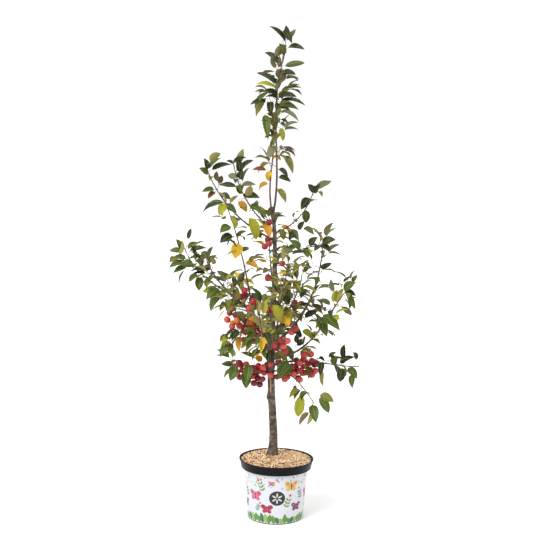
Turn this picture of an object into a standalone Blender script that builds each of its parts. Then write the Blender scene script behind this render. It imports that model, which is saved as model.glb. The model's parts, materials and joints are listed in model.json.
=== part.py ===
"""Young crab tree in fruit, standing in a round nursery pot.

Metres, +Z up. The origin is the middle of the pot's flat underside, +X is the
right-hand side of the plant and +Y points away from the viewer. The trunk forks
into two leaders, boughs spring from it at named heights, and each bough ends in
a closed uneven mass that holds its leaves and fruit.
"""

import math
import random
from collections import namedtuple

import bmesh
import bpy
from mathutils import Matrix, Vector
from mathutils.bvhtree import BVHTree

# Clearance between two pieces that touch
GAP = 0.0003

# Pot: radii at heights above its flat underside
POT_HEIGHT = 0.225
FOOT_RADIUS = 0.1035
WAIST_RADIUS = 0.1195
SHOULDER_HEIGHT = 0.191
SHOULDER_RISE = 0.003
COLLAR_FOOT_RADIUS = 0.132
COLLAR_TOP_RADIUS = 0.140
LIP_HEIGHT = 0.004
LIP_PROUD = 0.0012
WALL = 0.0025
FOOT_ROUNDING = 0.00125
LIP_ROUNDING = 0.0008
POT_SIDES = 40

# Printed sleeve round the pot's body
SLEEVE_THICKNESS = 0.0010
SLEEVE_FOOT = 0.003

# Filling: compost, and the heap of wood chips on top of it
COMPOST_TOP = 0.196
CHIPS_EDGE = 0.2165
CHIPS_MIDDLE = 0.2275
GROUND = 0.2310
CHIPS_FLAT_RADIUS = 0.034

# Trunk: height, sideways place, place away from the viewer, radius
TRUNK = (
    (GROUND + GAP, -0.0165, 0.000, 0.0265),
    (0.2470, -0.0155, 0.000, 0.0205),
    (0.2750, -0.0138, 0.001, 0.0168),
    (0.3200, -0.0130, 0.002, 0.0153),
    (0.3900, -0.0180, 0.004, 0.0146),
    (0.4700, -0.0240, 0.006, 0.0141),
    (0.6100, -0.0285, 0.007, 0.0130),
    (0.7500, -0.0258, 0.004, 0.0113),
    (0.8900, -0.0220, 0.000, 0.0094),
    (1.0000, -0.0225, -0.003, 0.0080),
    (1.1000, -0.0275, -0.003, 0.0072),
    (1.1460, -0.0350, -0.002, 0.0084),
)
# Rings for each named height of the trunk, and corners round each ring
TRUNK_STEPS = 2
TRUNK_SIDES = 12
# Root flare: lobes round it, their depth as a share of the radius, and its top
FLARE_LOBES = 5
FLARE_DEPTH = 0.10
FLARE_TOP = 0.300

# Corners round each limb, distance between its rings, and steps its curve is drawn in
LIMB_SIDES = 8
LIMB_STEP = 0.045
AXIS_STEPS = 24

# A limb: what it springs from, the height or distance along that where it does,
# its heading (0 right, 90 away, 180 left), its slopes at foot, middle and tip in
# degrees, its length, and its radii at foot and tip. A spray has no wood solid.
Limb = namedtuple("Limb", "parent at heading slopes length foot tip")
LIMBS = {
    "leader_main": Limb("trunk", 1.136, 14, (79, 93, 76), 0.545, 0.0040, 0.0020),
    "leader_side": Limb("trunk", 1.136, 175, (73, 95, 82), 0.340, 0.0035, 0.0018),
    "bough_left_low": Limb("trunk", 0.564, 165, (-6, 5, -6), 0.193, 0.0046, 0.0024),
    "bough_left_main": Limb("trunk", 0.672, 195, (66, 41, 68), 0.388, 0.0068, 0.0022),
    "bough_left_upright": Limb("bough_left_main", 0.120, 205, (78, 75, 66), 0.416, 0.0038, 0.0016),
    "bough_left_far": Limb("bough_left_main", 0.230, 160, (24, 39, 74), 0.284, 0.0032, 0.0015),
    "bough_left_high": Limb("trunk", 1.046, 160, (19, 43, 68), 0.397, 0.0040, 0.0016),
    "bough_left_inner": Limb("trunk", 1.075, 215, (33, 53, 81), 0.329, 0.0034, 0.0015),
    "bough_right_low": Limb("trunk", 0.573, 10, (22, -7, 0), 0.344, 0.0044, 0.0016),
    "bough_right_drooping": Limb("trunk", 0.548, 310, (29, -22, -39), 0.273, 0.0034, 0.0015),
    "bough_right_main": Limb("trunk", 0.654, 25, (26, 64, 88), 0.458, 0.0058, 0.0018),
    "bough_right_far": Limb("trunk", 0.604, 345, (0, 54, 49), 0.439, 0.0046, 0.0017),
    "bough_right_mid": Limb("trunk", 0.981, 320, (20, 15, 10), 0.263, 0.0027, 0.0014),
    "bough_right_high": Limb("trunk", 1.071, 40, (14, 41, 77), 0.276, 0.0030, 0.0015),
    "bough_front_low": Limb("trunk", 0.612, 262, (18, 32, 50), 0.370, 0.0046, 0.0018),
    "bough_front_left": Limb("trunk", 0.640, 225, (30, 42, 58), 0.300, 0.0042, 0.0018),
    "bough_front_high": Limb("trunk", 0.720, 290, (45, 60, 75), 0.320, 0.0040, 0.0016),
    "bough_back_low": Limb("trunk", 0.590, 85, (15, 30, 50), 0.380, 0.0048, 0.0018),
    "bough_back_left": Limb("trunk", 0.705, 130, (20, 30, 45), 0.300, 0.0040, 0.0017),
    "bough_back_right": Limb("trunk", 0.690, 62, (20, 40, 60), 0.320, 0.0042, 0.0017),
    "bough_back_high": Limb("trunk", 0.850, 100, (40, 58, 72), 0.310, 0.0036, 0.0016),
    "spray_left_tip": Limb("bough_left_far", 0.125, 195, (40, 28, -13), 0.150, 0, 0),
    "spray_left_fruit": Limb("bough_left_main", 0.050, 205, (5, -10, -25), 0.140, 0, 0),
    "spray_right_shoot": Limb("bough_right_main", 0.118, 40, (85, 97, 109), 0.200, 0, 0),
    "spray_tip_left": Limb("leader_main", 0.445, 185, (35, 30, 15), 0.085, 0, 0),
    "spray_tip_right": Limb("leader_main", 0.420, 5, (30, 15, -10), 0.095, 0, 0),
    "spray_tip_back": Limb("leader_main", 0.475, 85, (35, 25, 5), 0.085, 0, 0),
    "spray_tip_front": Limb("leader_main", 0.390, 275, (30, 15, -5), 0.085, 0, 0),
    "spray_side_left": Limb("leader_side", 0.325, 190, (60, 10, -60), 0.110, 0, 0),
    "spray_fork_right": Limb("leader_main", 0.190, 350, (20, -30, -60), 0.085, 0, 0),
    "spray_fork_left": Limb("leader_side", 0.110, 195, (25, 0, -30), 0.070, 0, 0),
}

# A mass: the limb it covers, where on that limb it starts and ends, its half
# width, and how far its middle hangs below the limb
Mass = namedtuple("Mass", "limb start end spread sag")
MASSES = {
    "foliage_left_low": Mass("bough_left_low", 0.050, 0.215, 0.044, 0.018),
    "foliage_left_fruit": Mass("spray_left_fruit", 0.000, 0.140, 0.044, 0.000),
    "foliage_left_main": Mass("bough_left_main", 0.265, 0.420, 0.054, 0.004),
    "foliage_left_upright": Mass("bough_left_upright", 0.200, 0.440, 0.052, 0.006),
    "foliage_left_tip": Mass("spray_left_tip", 0.000, 0.150, 0.036, 0.004),
    "foliage_left_far": Mass("bough_left_far", 0.170, 0.310, 0.048, 0.000),
    "foliage_left_high": Mass("bough_left_high", 0.170, 0.420, 0.060, 0.004),
    "foliage_left_inner": Mass("bough_left_inner", 0.140, 0.350, 0.052, 0.004),
    "foliage_right_low": Mass("bough_right_low", 0.060, 0.200, 0.040, 0.012),
    "foliage_right_low_tip": Mass("bough_right_low", 0.250, 0.360, 0.042, 0.004),
    "foliage_right_drooping": Mass("bough_right_drooping", 0.130, 0.330, 0.050, 0.020),
    "foliage_right_main": Mass("bough_right_main", 0.190, 0.480, 0.050, 0.000),
    "foliage_right_shoot": Mass("spray_right_shoot", 0.000, 0.210, 0.030, 0.000),
    "foliage_right_far": Mass("bough_right_far", 0.140, 0.470, 0.056, 0.004),
    "foliage_right_mid": Mass("bough_right_mid", 0.090, 0.290, 0.040, 0.004),
    "foliage_right_high": Mass("bough_right_high", 0.090, 0.300, 0.042, 0.002),
    "foliage_front_low": Mass("bough_front_low", 0.110, 0.400, 0.058, 0.006),
    "foliage_front_left": Mass("bough_front_left", 0.120, 0.320, 0.054, 0.010),
    "foliage_front_high": Mass("bough_front_high", 0.110, 0.340, 0.048, 0.002),
    "foliage_back_low": Mass("bough_back_low", 0.110, 0.410, 0.062, 0.006),
    "foliage_back_left": Mass("bough_back_left", 0.120, 0.320, 0.052, 0.004),
    "foliage_back_right": Mass("bough_back_right", 0.110, 0.350, 0.054, 0.004),
    "foliage_back_high": Mass("bough_back_high", 0.110, 0.330, 0.046, 0.002),
    "foliage_top": Mass("leader_main", 0.525, 0.692, 0.064, 0.000),
    "foliage_tip_left": Mass("spray_tip_left", 0.000, 0.085, 0.032, 0.000),
    "foliage_tip_right": Mass("spray_tip_right", 0.000, 0.095, 0.032, 0.000),
    "foliage_tip_back": Mass("spray_tip_back", 0.000, 0.085, 0.030, 0.000),
    "foliage_tip_front": Mass("spray_tip_front", 0.000, 0.085, 0.030, 0.000),
    "foliage_side_left": Mass("spray_side_left", 0.000, 0.100, 0.034, 0.000),
    "foliage_fork_right": Mass("spray_fork_right", 0.000, 0.085, 0.026, 0.000),
    "foliage_fork_left": Mass("spray_fork_left", 0.000, 0.070, 0.026, 0.000),
}
MASS_RINGS = 8
MASS_SIDES = 8
# Least radius of a mass, as at the end that its bough enters
MASS_SEAT_RADIUS = 0.008
# A mass is widest before its middle (below 1) and bluntly rounded (below 1)
MASS_LEAN = 0.75
MASS_BLUNT = 0.6
# Depth of the lumps on a mass, and each wave of lumps: how many go round, and
# how far the wave turns along the mass, in radians
MASS_UNEVEN = 0.12
MASS_WAVES = ((2, 5), (3, -7), (1, 11), (0, 13))
# A corner that stands in the way is drawn in by this share, at most so many times
SHRINK_STEP = 0.94
SHRINK_ROUNDS = 80
# Farthest that a corner looks for a piece that it may lie in
REACH = 0.080

# Surface colours: red, green, blue, roughness
COLLAR_BLACK = (0.012, 0.014, 0.018, 0.38)
SLEEVE_WHITE = (0.80, 0.83, 0.87, 0.25)
COMPOST_BROWN = (0.060, 0.036, 0.022, 0.95)
CHIP_TAN = (0.56, 0.38, 0.22, 0.90)
BARK_BROWN = (0.145, 0.098, 0.066, 0.85)
LEAF_GREEN = (0.070, 0.140, 0.025, 0.60)

# Corners closer than this after a cut become one
WELD = 0.00002
# Edges sharper than this, in degrees, stay crisp
CREASE = 30
ROUND_CREASE = 40


def clear_scene():
    """Remove every object that is already in the scene."""
    for item in list(bpy.data.objects):
        bpy.data.objects.remove(item, do_unlink=True)


def make_material(name, colour):
    """A plain surface with the given colour and roughness."""
    material = bpy.data.materials.new(name)
    material.use_nodes = True
    shader = material.node_tree.nodes["Principled BSDF"]
    shader.inputs["Base Color"].default_value = (*colour[:3], 1.0)
    shader.inputs["Roughness"].default_value = colour[3]
    shader.inputs["Metallic"].default_value = 0.0
    return material


def make_object(name, mesh, place, material, parent):
    """An object with its origin at place, hung on the parent empty."""
    piece = bpy.data.objects.new(name, mesh)
    bpy.context.scene.collection.objects.link(piece)
    piece.location = place
    piece.parent = parent
    mesh.materials.append(material)
    return piece


def close_end(work, row, point):
    """Close one end of a skin with a flat face, or with a fan up to a point."""
    if point is None:
        work.faces.new(row)
        return
    pole = work.verts.new(point)
    for corner, following in zip(row, row[1:] + row[:1]):
        work.faces.new((corner, following, pole))


def loft(name, rings, tip=None, foot=None):
    """A closed skin over a row of equal rings; each end is flat unless it has a point."""
    work = bmesh.new()
    rows = [[work.verts.new(point) for point in ring] for ring in rings]
    sides = len(rows[0])
    for row, following in zip(rows, rows[1:]):
        for i in range(sides):
            j = (i + 1) % sides
            work.faces.new((row[i], row[j], following[j], following[i]))
    close_end(work, rows[-1], tip)
    close_end(work, list(reversed(rows[0])), foot)
    bmesh.ops.triangulate(work, faces=work.faces)
    mesh = bpy.data.meshes.new(name)
    work.to_mesh(mesh)
    work.free()
    return mesh


def shade_round(piece, angle):
    """Smooth shading that keeps edges sharper than an angle crisp."""
    piece.data.shade_smooth()
    piece.data.set_sharp_from_angle(angle=math.radians(angle))


def revolve(name, profile):
    """Turn a closed outline of (radius, height) points about the upright axis."""
    work = bmesh.new()
    columns = []
    for i in range(POT_SIDES):
        turn = 2 * math.pi * i / POT_SIDES
        columns.append([
            work.verts.new((radius * math.cos(turn), radius * math.sin(turn), height))
            for radius, height in profile
        ])
    count = len(profile)
    for i in range(POT_SIDES):
        here, following = columns[i], columns[(i + 1) % POT_SIDES]
        for j in range(count):
            k = (j + 1) % count
            work.faces.new((here[j], following[j], following[k], here[k]))
    bmesh.ops.remove_doubles(work, verts=work.verts, dist=WELD)
    bmesh.ops.dissolve_degenerate(work, edges=work.edges, dist=WELD)
    bmesh.ops.recalc_face_normals(work, faces=work.faces)
    mesh = bpy.data.meshes.new(name)
    work.to_mesh(mesh)
    work.free()
    return mesh


def body_radius(height, inset=0.0):
    """Outer radius of the pot's tapering body at a height, less an inset."""
    share = height / SHOULDER_HEIGHT
    return FOOT_RADIUS + (WAIST_RADIUS - FOOT_RADIUS) * share - inset


def collar_radius(height, inset=0.0):
    """Outer radius of the flared collar at a height, less an inset."""
    share = (height - SHOULDER_HEIGHT) / (POT_HEIGHT - SHOULDER_HEIGHT)
    return COLLAR_FOOT_RADIUS + (COLLAR_TOP_RADIUS - COLLAR_FOOT_RADIUS) * share - inset


def make_pot_wall(material, parent):
    """The black pot: flat floor, tapering wall, shoulder, flared collar and lip."""
    skin = SLEEVE_THICKNESS + GAP
    lip_foot = POT_HEIGHT - LIP_HEIGHT
    profile = (
        (0.0, 0.0),
        (FOOT_RADIUS - FOOT_ROUNDING, 0.0),
        (FOOT_RADIUS, FOOT_ROUNDING),
        (body_radius(SLEEVE_FOOT), SLEEVE_FOOT),
        (body_radius(SLEEVE_FOOT, skin), SLEEVE_FOOT),
        (body_radius(SHOULDER_HEIGHT, skin), SHOULDER_HEIGHT),
        (COLLAR_FOOT_RADIUS, SHOULDER_HEIGHT),
        (collar_radius(lip_foot, LIP_PROUD), lip_foot - LIP_PROUD),
        (COLLAR_TOP_RADIUS, lip_foot),
        (COLLAR_TOP_RADIUS, POT_HEIGHT - LIP_ROUNDING),
        (COLLAR_TOP_RADIUS - LIP_ROUNDING, POT_HEIGHT),
        (COLLAR_TOP_RADIUS - WALL, POT_HEIGHT),
        (collar_radius(SHOULDER_HEIGHT + SHOULDER_RISE, WALL), SHOULDER_HEIGHT + SHOULDER_RISE),
        (body_radius(SHOULDER_HEIGHT, skin + WALL), SHOULDER_HEIGHT + SHOULDER_RISE),
        (body_radius(WALL, skin + WALL), WALL),
        (0.0, WALL),
    )
    piece = make_object("pot_wall", revolve("pot_wall", profile), (0, 0, 0), material, parent)
    shade_round(piece, CREASE)


def make_pot_sleeve(material, parent):
    """The printed band that wraps the body between foot and shoulder."""
    low = SLEEVE_FOOT + GAP
    high = SHOULDER_HEIGHT - GAP
    profile = (
        (body_radius(low), low),
        (body_radius(high), high),
        (body_radius(high, SLEEVE_THICKNESS), high),
        (body_radius(low, SLEEVE_THICKNESS), low),
    )
    piece = make_object("pot_sleeve", revolve("pot_sleeve", profile), (0, 0, 0), material, parent)
    shade_round(piece, CREASE)


def make_compost(material, parent):
    """The compost that fills the pot up to just above the shoulder."""
    inset = SLEEVE_THICKNESS + WALL + 2 * GAP
    shoulder = SHOULDER_HEIGHT + SHOULDER_RISE + GAP
    profile = (
        (0.0, WALL + GAP),
        (body_radius(WALL, inset), WALL + GAP),
        (body_radius(SHOULDER_HEIGHT, inset), shoulder),
        (body_radius(SHOULDER_HEIGHT, inset), COMPOST_TOP),
        (0.0, COMPOST_TOP),
    )
    piece = make_object("compost", revolve("compost", profile), (0, 0, 0), material, parent)
    shade_round(piece, CREASE)


def make_chips(material, parent):
    """The heaped layer of wood chips, flat in the middle where the trunk stands."""
    low = COMPOST_TOP + GAP
    inset = WALL + 2 * GAP
    edge = collar_radius(CHIPS_EDGE, inset)
    profile = (
        (0.0, low),
        (collar_radius(low, inset), low),
        (edge, CHIPS_EDGE),
        (0.5 * (edge + CHIPS_FLAT_RADIUS), CHIPS_MIDDLE),
        (CHIPS_FLAT_RADIUS, GROUND),
        (0.0, GROUND),
    )
    piece = make_object("wood_chips", revolve("wood_chips", profile), (0, 0, 0), material, parent)
    shade_round(piece, CREASE)


def blend(before, start, end, after, share):
    """Smooth value between start and end that also heeds their neighbours."""
    return start + 0.5 * share * (
        end - before
        + share * (2 * before - 5 * start + 4 * end - after
                   + share * (3 * (start - end) + after - before)))


def trunk_stations():
    """Centre points and radii up the trunk, smoothed between the named ones."""
    rows = []
    last = len(TRUNK) - 1
    for i in range(last):
        around = [TRUNK[max(0, min(last, i + k))] for k in (-1, 0, 1, 2)]
        for step in range(TRUNK_STEPS):
            share = step / TRUNK_STEPS
            rows.append([blend(*column, share) for column in zip(*around)])
    rows.append(list(TRUNK[last]))
    return [(Vector((x, y, z)), radius) for z, x, y, radius in rows]


def trunk_at(height):
    """The trunk's centre at a height above the pot's underside."""
    stations = trunk_stations()
    for (low, _), (high, _) in zip(stations, stations[1:]):
        if low.z <= height <= high.z:
            return low.lerp(high, (height - low.z) / (high.z - low.z))
    return stations[-1][0].copy()


def slope_at(slopes, share):
    """Slope in degrees at a share of a limb's length, through its three named slopes."""
    foot, middle, tip = slopes
    return (foot * (1 - share) * (1 - 2 * share)
            + middle * 4 * share * (1 - share)
            + tip * share * (2 * share - 1))


def direction(heading, slope):
    """Unit vector with a heading and a slope in degrees."""
    turn, rise = math.radians(heading), math.radians(slope)
    return Vector((math.cos(rise) * math.cos(turn), math.cos(rise) * math.sin(turn), math.sin(rise)))


def limb_axis(name):
    """Points along a limb's centre, from the parent's own centre line to its tip."""
    limb = LIMBS[name]
    start = trunk_at(limb.at) if limb.parent == "trunk" else point_on(limb.parent, limb.at)[0]
    points = [start]
    step = limb.length / AXIS_STEPS
    for i in range(AXIS_STEPS):
        slope = slope_at(limb.slopes, (i + 0.5) / AXIS_STEPS)
        points.append(points[-1] + step * direction(limb.heading, slope))
    return points


def point_on(name, distance):
    """Centre point and heading at a distance along a limb, straight on past its tip."""
    limb = LIMBS[name]
    points = limb_axis(name)
    place = max(0.0, distance) / limb.length * AXIS_STEPS
    index = min(int(place), AXIS_STEPS - 1)
    along = points[index + 1] - points[index]
    share = min(max(distance / limb.length, 0.0), 1.0)
    ahead = direction(limb.heading, slope_at(limb.slopes, share))
    return points[index] + along * (place - index), ahead


def ring(centre, ahead, heading, radii):
    """Points round a centre, square to a limb's direction, one for each given radius."""
    across = direction(heading + 90, 0)
    up = ahead.cross(across)
    count = len(radii)
    points = []
    for i, radius in enumerate(radii):
        turn = 2 * math.pi * i / count
        points.append(centre + radius * (math.cos(turn) * across + math.sin(turn) * up))
    return points


def limb_radius(limb, distance):
    """Radius of a limb's wood at a distance from its foot."""
    return limb.foot + (limb.tip - limb.foot) * min(1.0, distance / limb.length)


def limb_stretch(name, start, end, grow=0.0):
    """Mesh of one stretch of a limb, grown outwards all round by a margin."""
    limb = LIMBS[name]
    count = max(2, round((end - start) / LIMB_STEP))
    first, last = start - grow, end + grow
    rings = []
    for i in range(count + 1):
        distance = first + (last - first) * i / count
        centre, ahead = point_on(name, distance)
        if distance < 0:
            centre = centre + ahead * distance
        radius = limb_radius(limb, max(distance, 0)) + grow
        rings.append(ring(centre, ahead, limb.heading, [radius] * LIMB_SIDES))
    return loft(name, rings)


def trunk_mesh(grow=0.0):
    """The trunk with its lobed root flare, flat at the ground and at the fork."""
    rings = []
    stations = trunk_stations()
    for i, (centre, radius) in enumerate(stations):
        lobes = max(0.0, (FLARE_TOP - centre.z) / (FLARE_TOP - GROUND))
        radii = []
        for j in range(TRUNK_SIDES):
            wave = math.cos(FLARE_LOBES * 2 * math.pi * j / TRUNK_SIDES)
            radii.append(radius * (1 + FLARE_DEPTH * lobes * wave) + grow)
        shift = grow if i == len(stations) - 1 else 0.0
        lifted = centre + Vector((0, 0, shift))
        turns = [2 * math.pi * j / TRUNK_SIDES for j in range(TRUNK_SIDES)]
        rings.append([
            lifted + Vector((width * math.cos(turn), width * math.sin(turn), 0))
            for width, turn in zip(radii, turns)
        ])
    return loft("trunk", rings)


def wood_stretches(name):
    """Bare stretches of a limb: those that no mass covers."""
    limb = LIMBS[name]
    covered = sorted((m.start, m.end) for m in MASSES.values() if m.limb == name)
    stretches = []
    position = 0.0
    for start, end in covered:
        stretches.append((position, start))
        position = end
    if position < limb.length:
        stretches.append((position, limb.length))
    return stretches


def mass_radii(name, mass, share):
    """Uneven radii round one ring of a mass, at a share of the way along it."""
    dice = random.Random(name)
    phases = [dice.uniform(0, 2 * math.pi) for _ in MASS_WAVES]
    swell = max(0.0, math.sin(math.pi * share ** MASS_LEAN))
    radii = []
    for j in range(MASS_SIDES):
        turn = 2 * math.pi * j / MASS_SIDES
        lumps = sum(math.sin(around * turn + along * share + phase)
                    for (around, along), phase in zip(MASS_WAVES, phases))
        full = mass.spread * swell ** MASS_BLUNT * (1 + MASS_UNEVEN * lumps * swell)
        radii.append(max(full, MASS_SEAT_RADIUS))
    return radii


def mass_start(mass, obstacles):
    """Where a mass starts: at its bough's end, or where a spray comes clear of the rest."""
    if LIMBS[mass.limb].foot:
        return mass.start + GAP
    start = 0.0
    while start < mass.end / 2:
        point = point_on(mass.limb, start)[0]
        if not any(is_inside(point, tree) for tree in obstacles):
            break
        start += GAP
    return start


def is_inside(point, tree):
    """Whether a point lies inside a closed mesh, given its search tree."""
    place, normal, _, _ = tree.find_nearest(point)
    return (point - place).dot(normal) < 0


def mass_mesh(name, mass, obstacles):
    """One uneven closed lump round a stretch of its limb, drawn in where others stand."""
    limb = LIMBS[mass.limb]
    goes_on = mass.end < limb.length and limb.foot > 0
    first = mass_start(mass, obstacles)
    last = mass.end - (GAP if goes_on else 0.0)
    pointed_foot = not limb.foot
    offset = 0.5 if pointed_foot else 0.0
    spaces = MASS_RINGS - 1 if goes_on else MASS_RINGS
    rows = []
    for i in range(MASS_RINGS):
        share = (i + offset) / spaces
        centre, ahead = point_on(mass.limb, first + (last - first) * share)
        centre = centre - Vector((0, 0, mass.sag * math.sin(math.pi * share)))
        rows.append([centre, ahead, mass_radii(name, mass, share)])
    foot = point_on(mass.limb, first)[0] if pointed_foot else None
    tip = None if goes_on else point_on(mass.limb, last)[0]
    for _ in range(SHRINK_ROUNDS):
        rings = [ring(centre, ahead, limb.heading, radii) for centre, ahead, radii in rows]
        mesh = loft(name, rings, tip, foot)
        touched = corners_in_the_way(mesh, obstacles)
        if not touched:
            break
        for corner in touched:
            row, column = divmod(corner, MASS_SIDES)
            if row < MASS_RINGS:
                rows[row][2][column] *= SHRINK_STEP
    return mesh


def corners_in_the_way(mesh, obstacles):
    """Corners of those faces of a mesh that cut into an obstacle or lie inside one."""
    work = bmesh.new()
    work.from_mesh(mesh)
    tree = BVHTree.FromBMesh(work)
    touched = set()
    for obstacle in obstacles:
        for face, _ in tree.overlap(obstacle):
            touched.update(mesh.polygons[face].vertices)
        touched.update(c.index for c in mesh.vertices if is_near_inside(c.co, obstacle))
    work.free()
    return touched


def is_near_inside(point, tree):
    """Whether a point lies inside an obstacle, for points that are near enough to ask."""
    return tree.find_nearest(point, REACH)[0] is not None and is_inside(point, tree)


def grown_copy(mesh, margin):
    """A copy of a mesh with every corner moved out along its normal."""
    copy = mesh.copy()
    work = bmesh.new()
    work.from_mesh(copy)
    work.normal_update()
    moved = [(corner, corner.co + corner.normal * margin) for corner in work.verts]
    for corner, place in moved:
        corner.co = place
    work.to_mesh(copy)
    work.free()
    return copy


def keep_largest(mesh):
    """Weld what a cut leaves, and keep only the largest connected lump."""
    work = bmesh.new()
    work.from_mesh(mesh)
    bmesh.ops.remove_doubles(work, verts=work.verts, dist=WELD)
    bmesh.ops.dissolve_degenerate(work, edges=work.edges, dist=WELD)
    unseen = set(work.faces)
    lumps = []
    while unseen:
        lump = {unseen.pop()}
        border = list(lump)
        while border:
            face = border.pop()
            for edge in face.edges:
                for other in edge.link_faces:
                    if other in unseen:
                        unseen.discard(other)
                        lump.add(other)
                        border.append(other)
        lumps.append(lump)
    lumps.sort(key=lambda lump: sum(face.calc_area() for face in lump), reverse=True)
    spare = [face for lump in lumps[1:] for face in lump]
    bmesh.ops.delete(work, geom=spare, context="FACES")
    loose = [corner for corner in work.verts if not corner.link_faces]
    bmesh.ops.delete(work, geom=loose, context="VERTS")
    bmesh.ops.triangulate(work, faces=work.faces)
    work.to_mesh(mesh)
    work.free()


def cut(mesh, cutters):
    """Take the cutters' meshes out of a mesh, and return what is left of it."""
    body = bpy.data.objects.new("body", mesh)
    bpy.context.scene.collection.objects.link(body)
    tools = []
    for i, shape in enumerate(cutters):
        tool = bpy.data.objects.new("cutter", shape)
        bpy.context.scene.collection.objects.link(tool)
        tools.append(tool)
        step = body.modifiers.new("cut" + str(i), "BOOLEAN")
        step.operation = "DIFFERENCE"
        step.solver = "EXACT"
        step.object = tool
    graph = bpy.context.evaluated_depsgraph_get()
    result = bpy.data.meshes.new_from_object(body.evaluated_get(graph))
    for item in (body, *tools):
        bpy.data.objects.remove(item, do_unlink=True)
    keep_largest(result)
    return result


def box_of(mesh):
    """Lowest and highest corner of a mesh."""
    columns = list(zip(*(corner.co for corner in mesh.vertices)))
    return [min(column) for column in columns], [max(column) for column in columns]


def boxes_meet(one, other):
    """Whether the boxes round two meshes overlap."""
    (low_a, high_a), (low_b, high_b) = box_of(one), box_of(other)
    return all(low_a[k] < high_b[k] and low_b[k] < high_a[k] for k in range(3))


def place_mesh(name, mesh, origin, material, parent):
    """Give a world-space mesh its own origin, and hang it on the plant."""
    mesh.transform(Matrix.Translation(-origin))
    piece = make_object(name, mesh, origin, material, parent)
    shade_round(piece, ROUND_CREASE)
    return piece


def make_trunk(material, parent):
    """The trunk, and a slightly thicker copy that other pieces are cut with."""
    place_mesh("trunk", trunk_mesh(), trunk_stations()[0][0], material, parent)
    return trunk_mesh(GAP)


def make_limbs(material, parent, trunk_cutter):
    """Every bare stretch of leader and bough, each cut where it meets its parent."""
    woods = {"trunk": trunk_cutter}
    for name, limb in LIMBS.items():
        if not limb.foot:
            continue
        for i, (start, end) in enumerate(wood_stretches(name)):
            label = name if i == 0 else name + "_outer"
            mesh = limb_stretch(name, start, end)
            near = [wood.copy() for wood in woods.values() if boxes_meet(mesh, wood)]
            if near:
                mesh = cut(mesh, near)
            woods[label] = limb_stretch(name, start, end, GAP)
            place_mesh(label, mesh, point_on(name, start)[0], material, parent)
    return woods


def search_tree(mesh):
    """A tree for finding what is near a mesh."""
    work = bmesh.new()
    work.from_mesh(mesh)
    tree = BVHTree.FromBMesh(work)
    work.free()
    return tree


def make_masses(material, parent, woods):
    """Every mass, kept clear of the wood that it meets and of the masses before it."""
    standing = dict(woods)
    for name, mass in MASSES.items():
        rough = mass_mesh(name, mass, [])
        own = (mass.limb, mass.limb + "_outer")
        near = [search_tree(other) for label, other in standing.items()
                if label not in own and boxes_meet(rough, other)]
        mesh = mass_mesh(name, mass, near)
        standing[name] = grown_copy(mesh, GAP)
        place_mesh(name, mesh, point_on(mass.limb, mass.start)[0], material, parent)


def main():
    """Build the pot, its filling and the plant."""
    clear_scene()
    plant = bpy.data.objects.new("plant", None)
    bpy.context.scene.collection.objects.link(plant)
    make_pot_wall(make_material("collar_black", COLLAR_BLACK), plant)
    make_pot_sleeve(make_material("sleeve_white", SLEEVE_WHITE), plant)
    make_compost(make_material("compost_brown", COMPOST_BROWN), plant)
    make_chips(make_material("chip_tan", CHIP_TAN), plant)
    bark = make_material("bark_brown", BARK_BROWN)
    trunk_cutter = make_trunk(bark, plant)
    woods = make_limbs(bark, plant, trunk_cutter)
    make_masses(make_material("leaf_green", LEAF_GREEN), plant, woods)


main()
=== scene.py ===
"""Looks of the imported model: a young crab tree in fruit, in a printed nursery pot.

Metres, +Z up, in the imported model's own frame. Trunk, leaders and boughs follow
the same named sizes as the solids. Twigs, leaves and fruit grow on from them:
first those with a named place, then the rest by a seeded rule.
"""

import json
import math
import random
from collections import namedtuple
from itertools import product

import bpy
from mathutils import Matrix, Vector, noise

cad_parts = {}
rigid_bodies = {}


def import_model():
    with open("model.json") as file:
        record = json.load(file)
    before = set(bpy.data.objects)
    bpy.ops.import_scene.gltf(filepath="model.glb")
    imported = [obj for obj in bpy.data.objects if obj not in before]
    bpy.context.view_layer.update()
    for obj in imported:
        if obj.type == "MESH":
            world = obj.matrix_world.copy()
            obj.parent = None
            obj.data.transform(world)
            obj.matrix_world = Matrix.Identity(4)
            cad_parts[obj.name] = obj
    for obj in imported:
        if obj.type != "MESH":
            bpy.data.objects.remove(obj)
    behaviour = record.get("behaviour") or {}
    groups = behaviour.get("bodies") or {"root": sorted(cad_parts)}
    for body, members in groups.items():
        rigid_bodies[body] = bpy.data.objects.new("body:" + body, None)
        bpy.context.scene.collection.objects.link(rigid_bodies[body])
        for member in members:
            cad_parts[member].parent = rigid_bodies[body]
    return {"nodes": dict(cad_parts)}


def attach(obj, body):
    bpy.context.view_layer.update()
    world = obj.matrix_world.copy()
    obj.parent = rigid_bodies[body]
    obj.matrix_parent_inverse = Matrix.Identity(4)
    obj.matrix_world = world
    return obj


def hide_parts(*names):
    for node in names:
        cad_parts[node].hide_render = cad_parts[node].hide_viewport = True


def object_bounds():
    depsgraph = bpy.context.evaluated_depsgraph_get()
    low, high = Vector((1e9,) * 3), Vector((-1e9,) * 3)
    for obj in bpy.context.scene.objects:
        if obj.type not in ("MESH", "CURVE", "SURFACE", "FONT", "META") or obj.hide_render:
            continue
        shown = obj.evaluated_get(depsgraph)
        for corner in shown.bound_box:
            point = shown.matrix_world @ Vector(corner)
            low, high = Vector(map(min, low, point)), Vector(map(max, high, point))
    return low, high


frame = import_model()
CAD_BOX = [[float(value) for value in corner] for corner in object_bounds()]

# Camera: place, tilt down and roll in radians, and focal length in pixels of a
# square image of the given side
CAMERA_PLACE = Vector((-0.0147, -3.7, 1.2702))
CAMERA_TILT = 0.09687
CAMERA_ROLL = 0.0223
CAMERA_FOCUS = 1003.0
IMAGE_SIDE = 553.0
SENSOR_MM = 36.0

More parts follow.
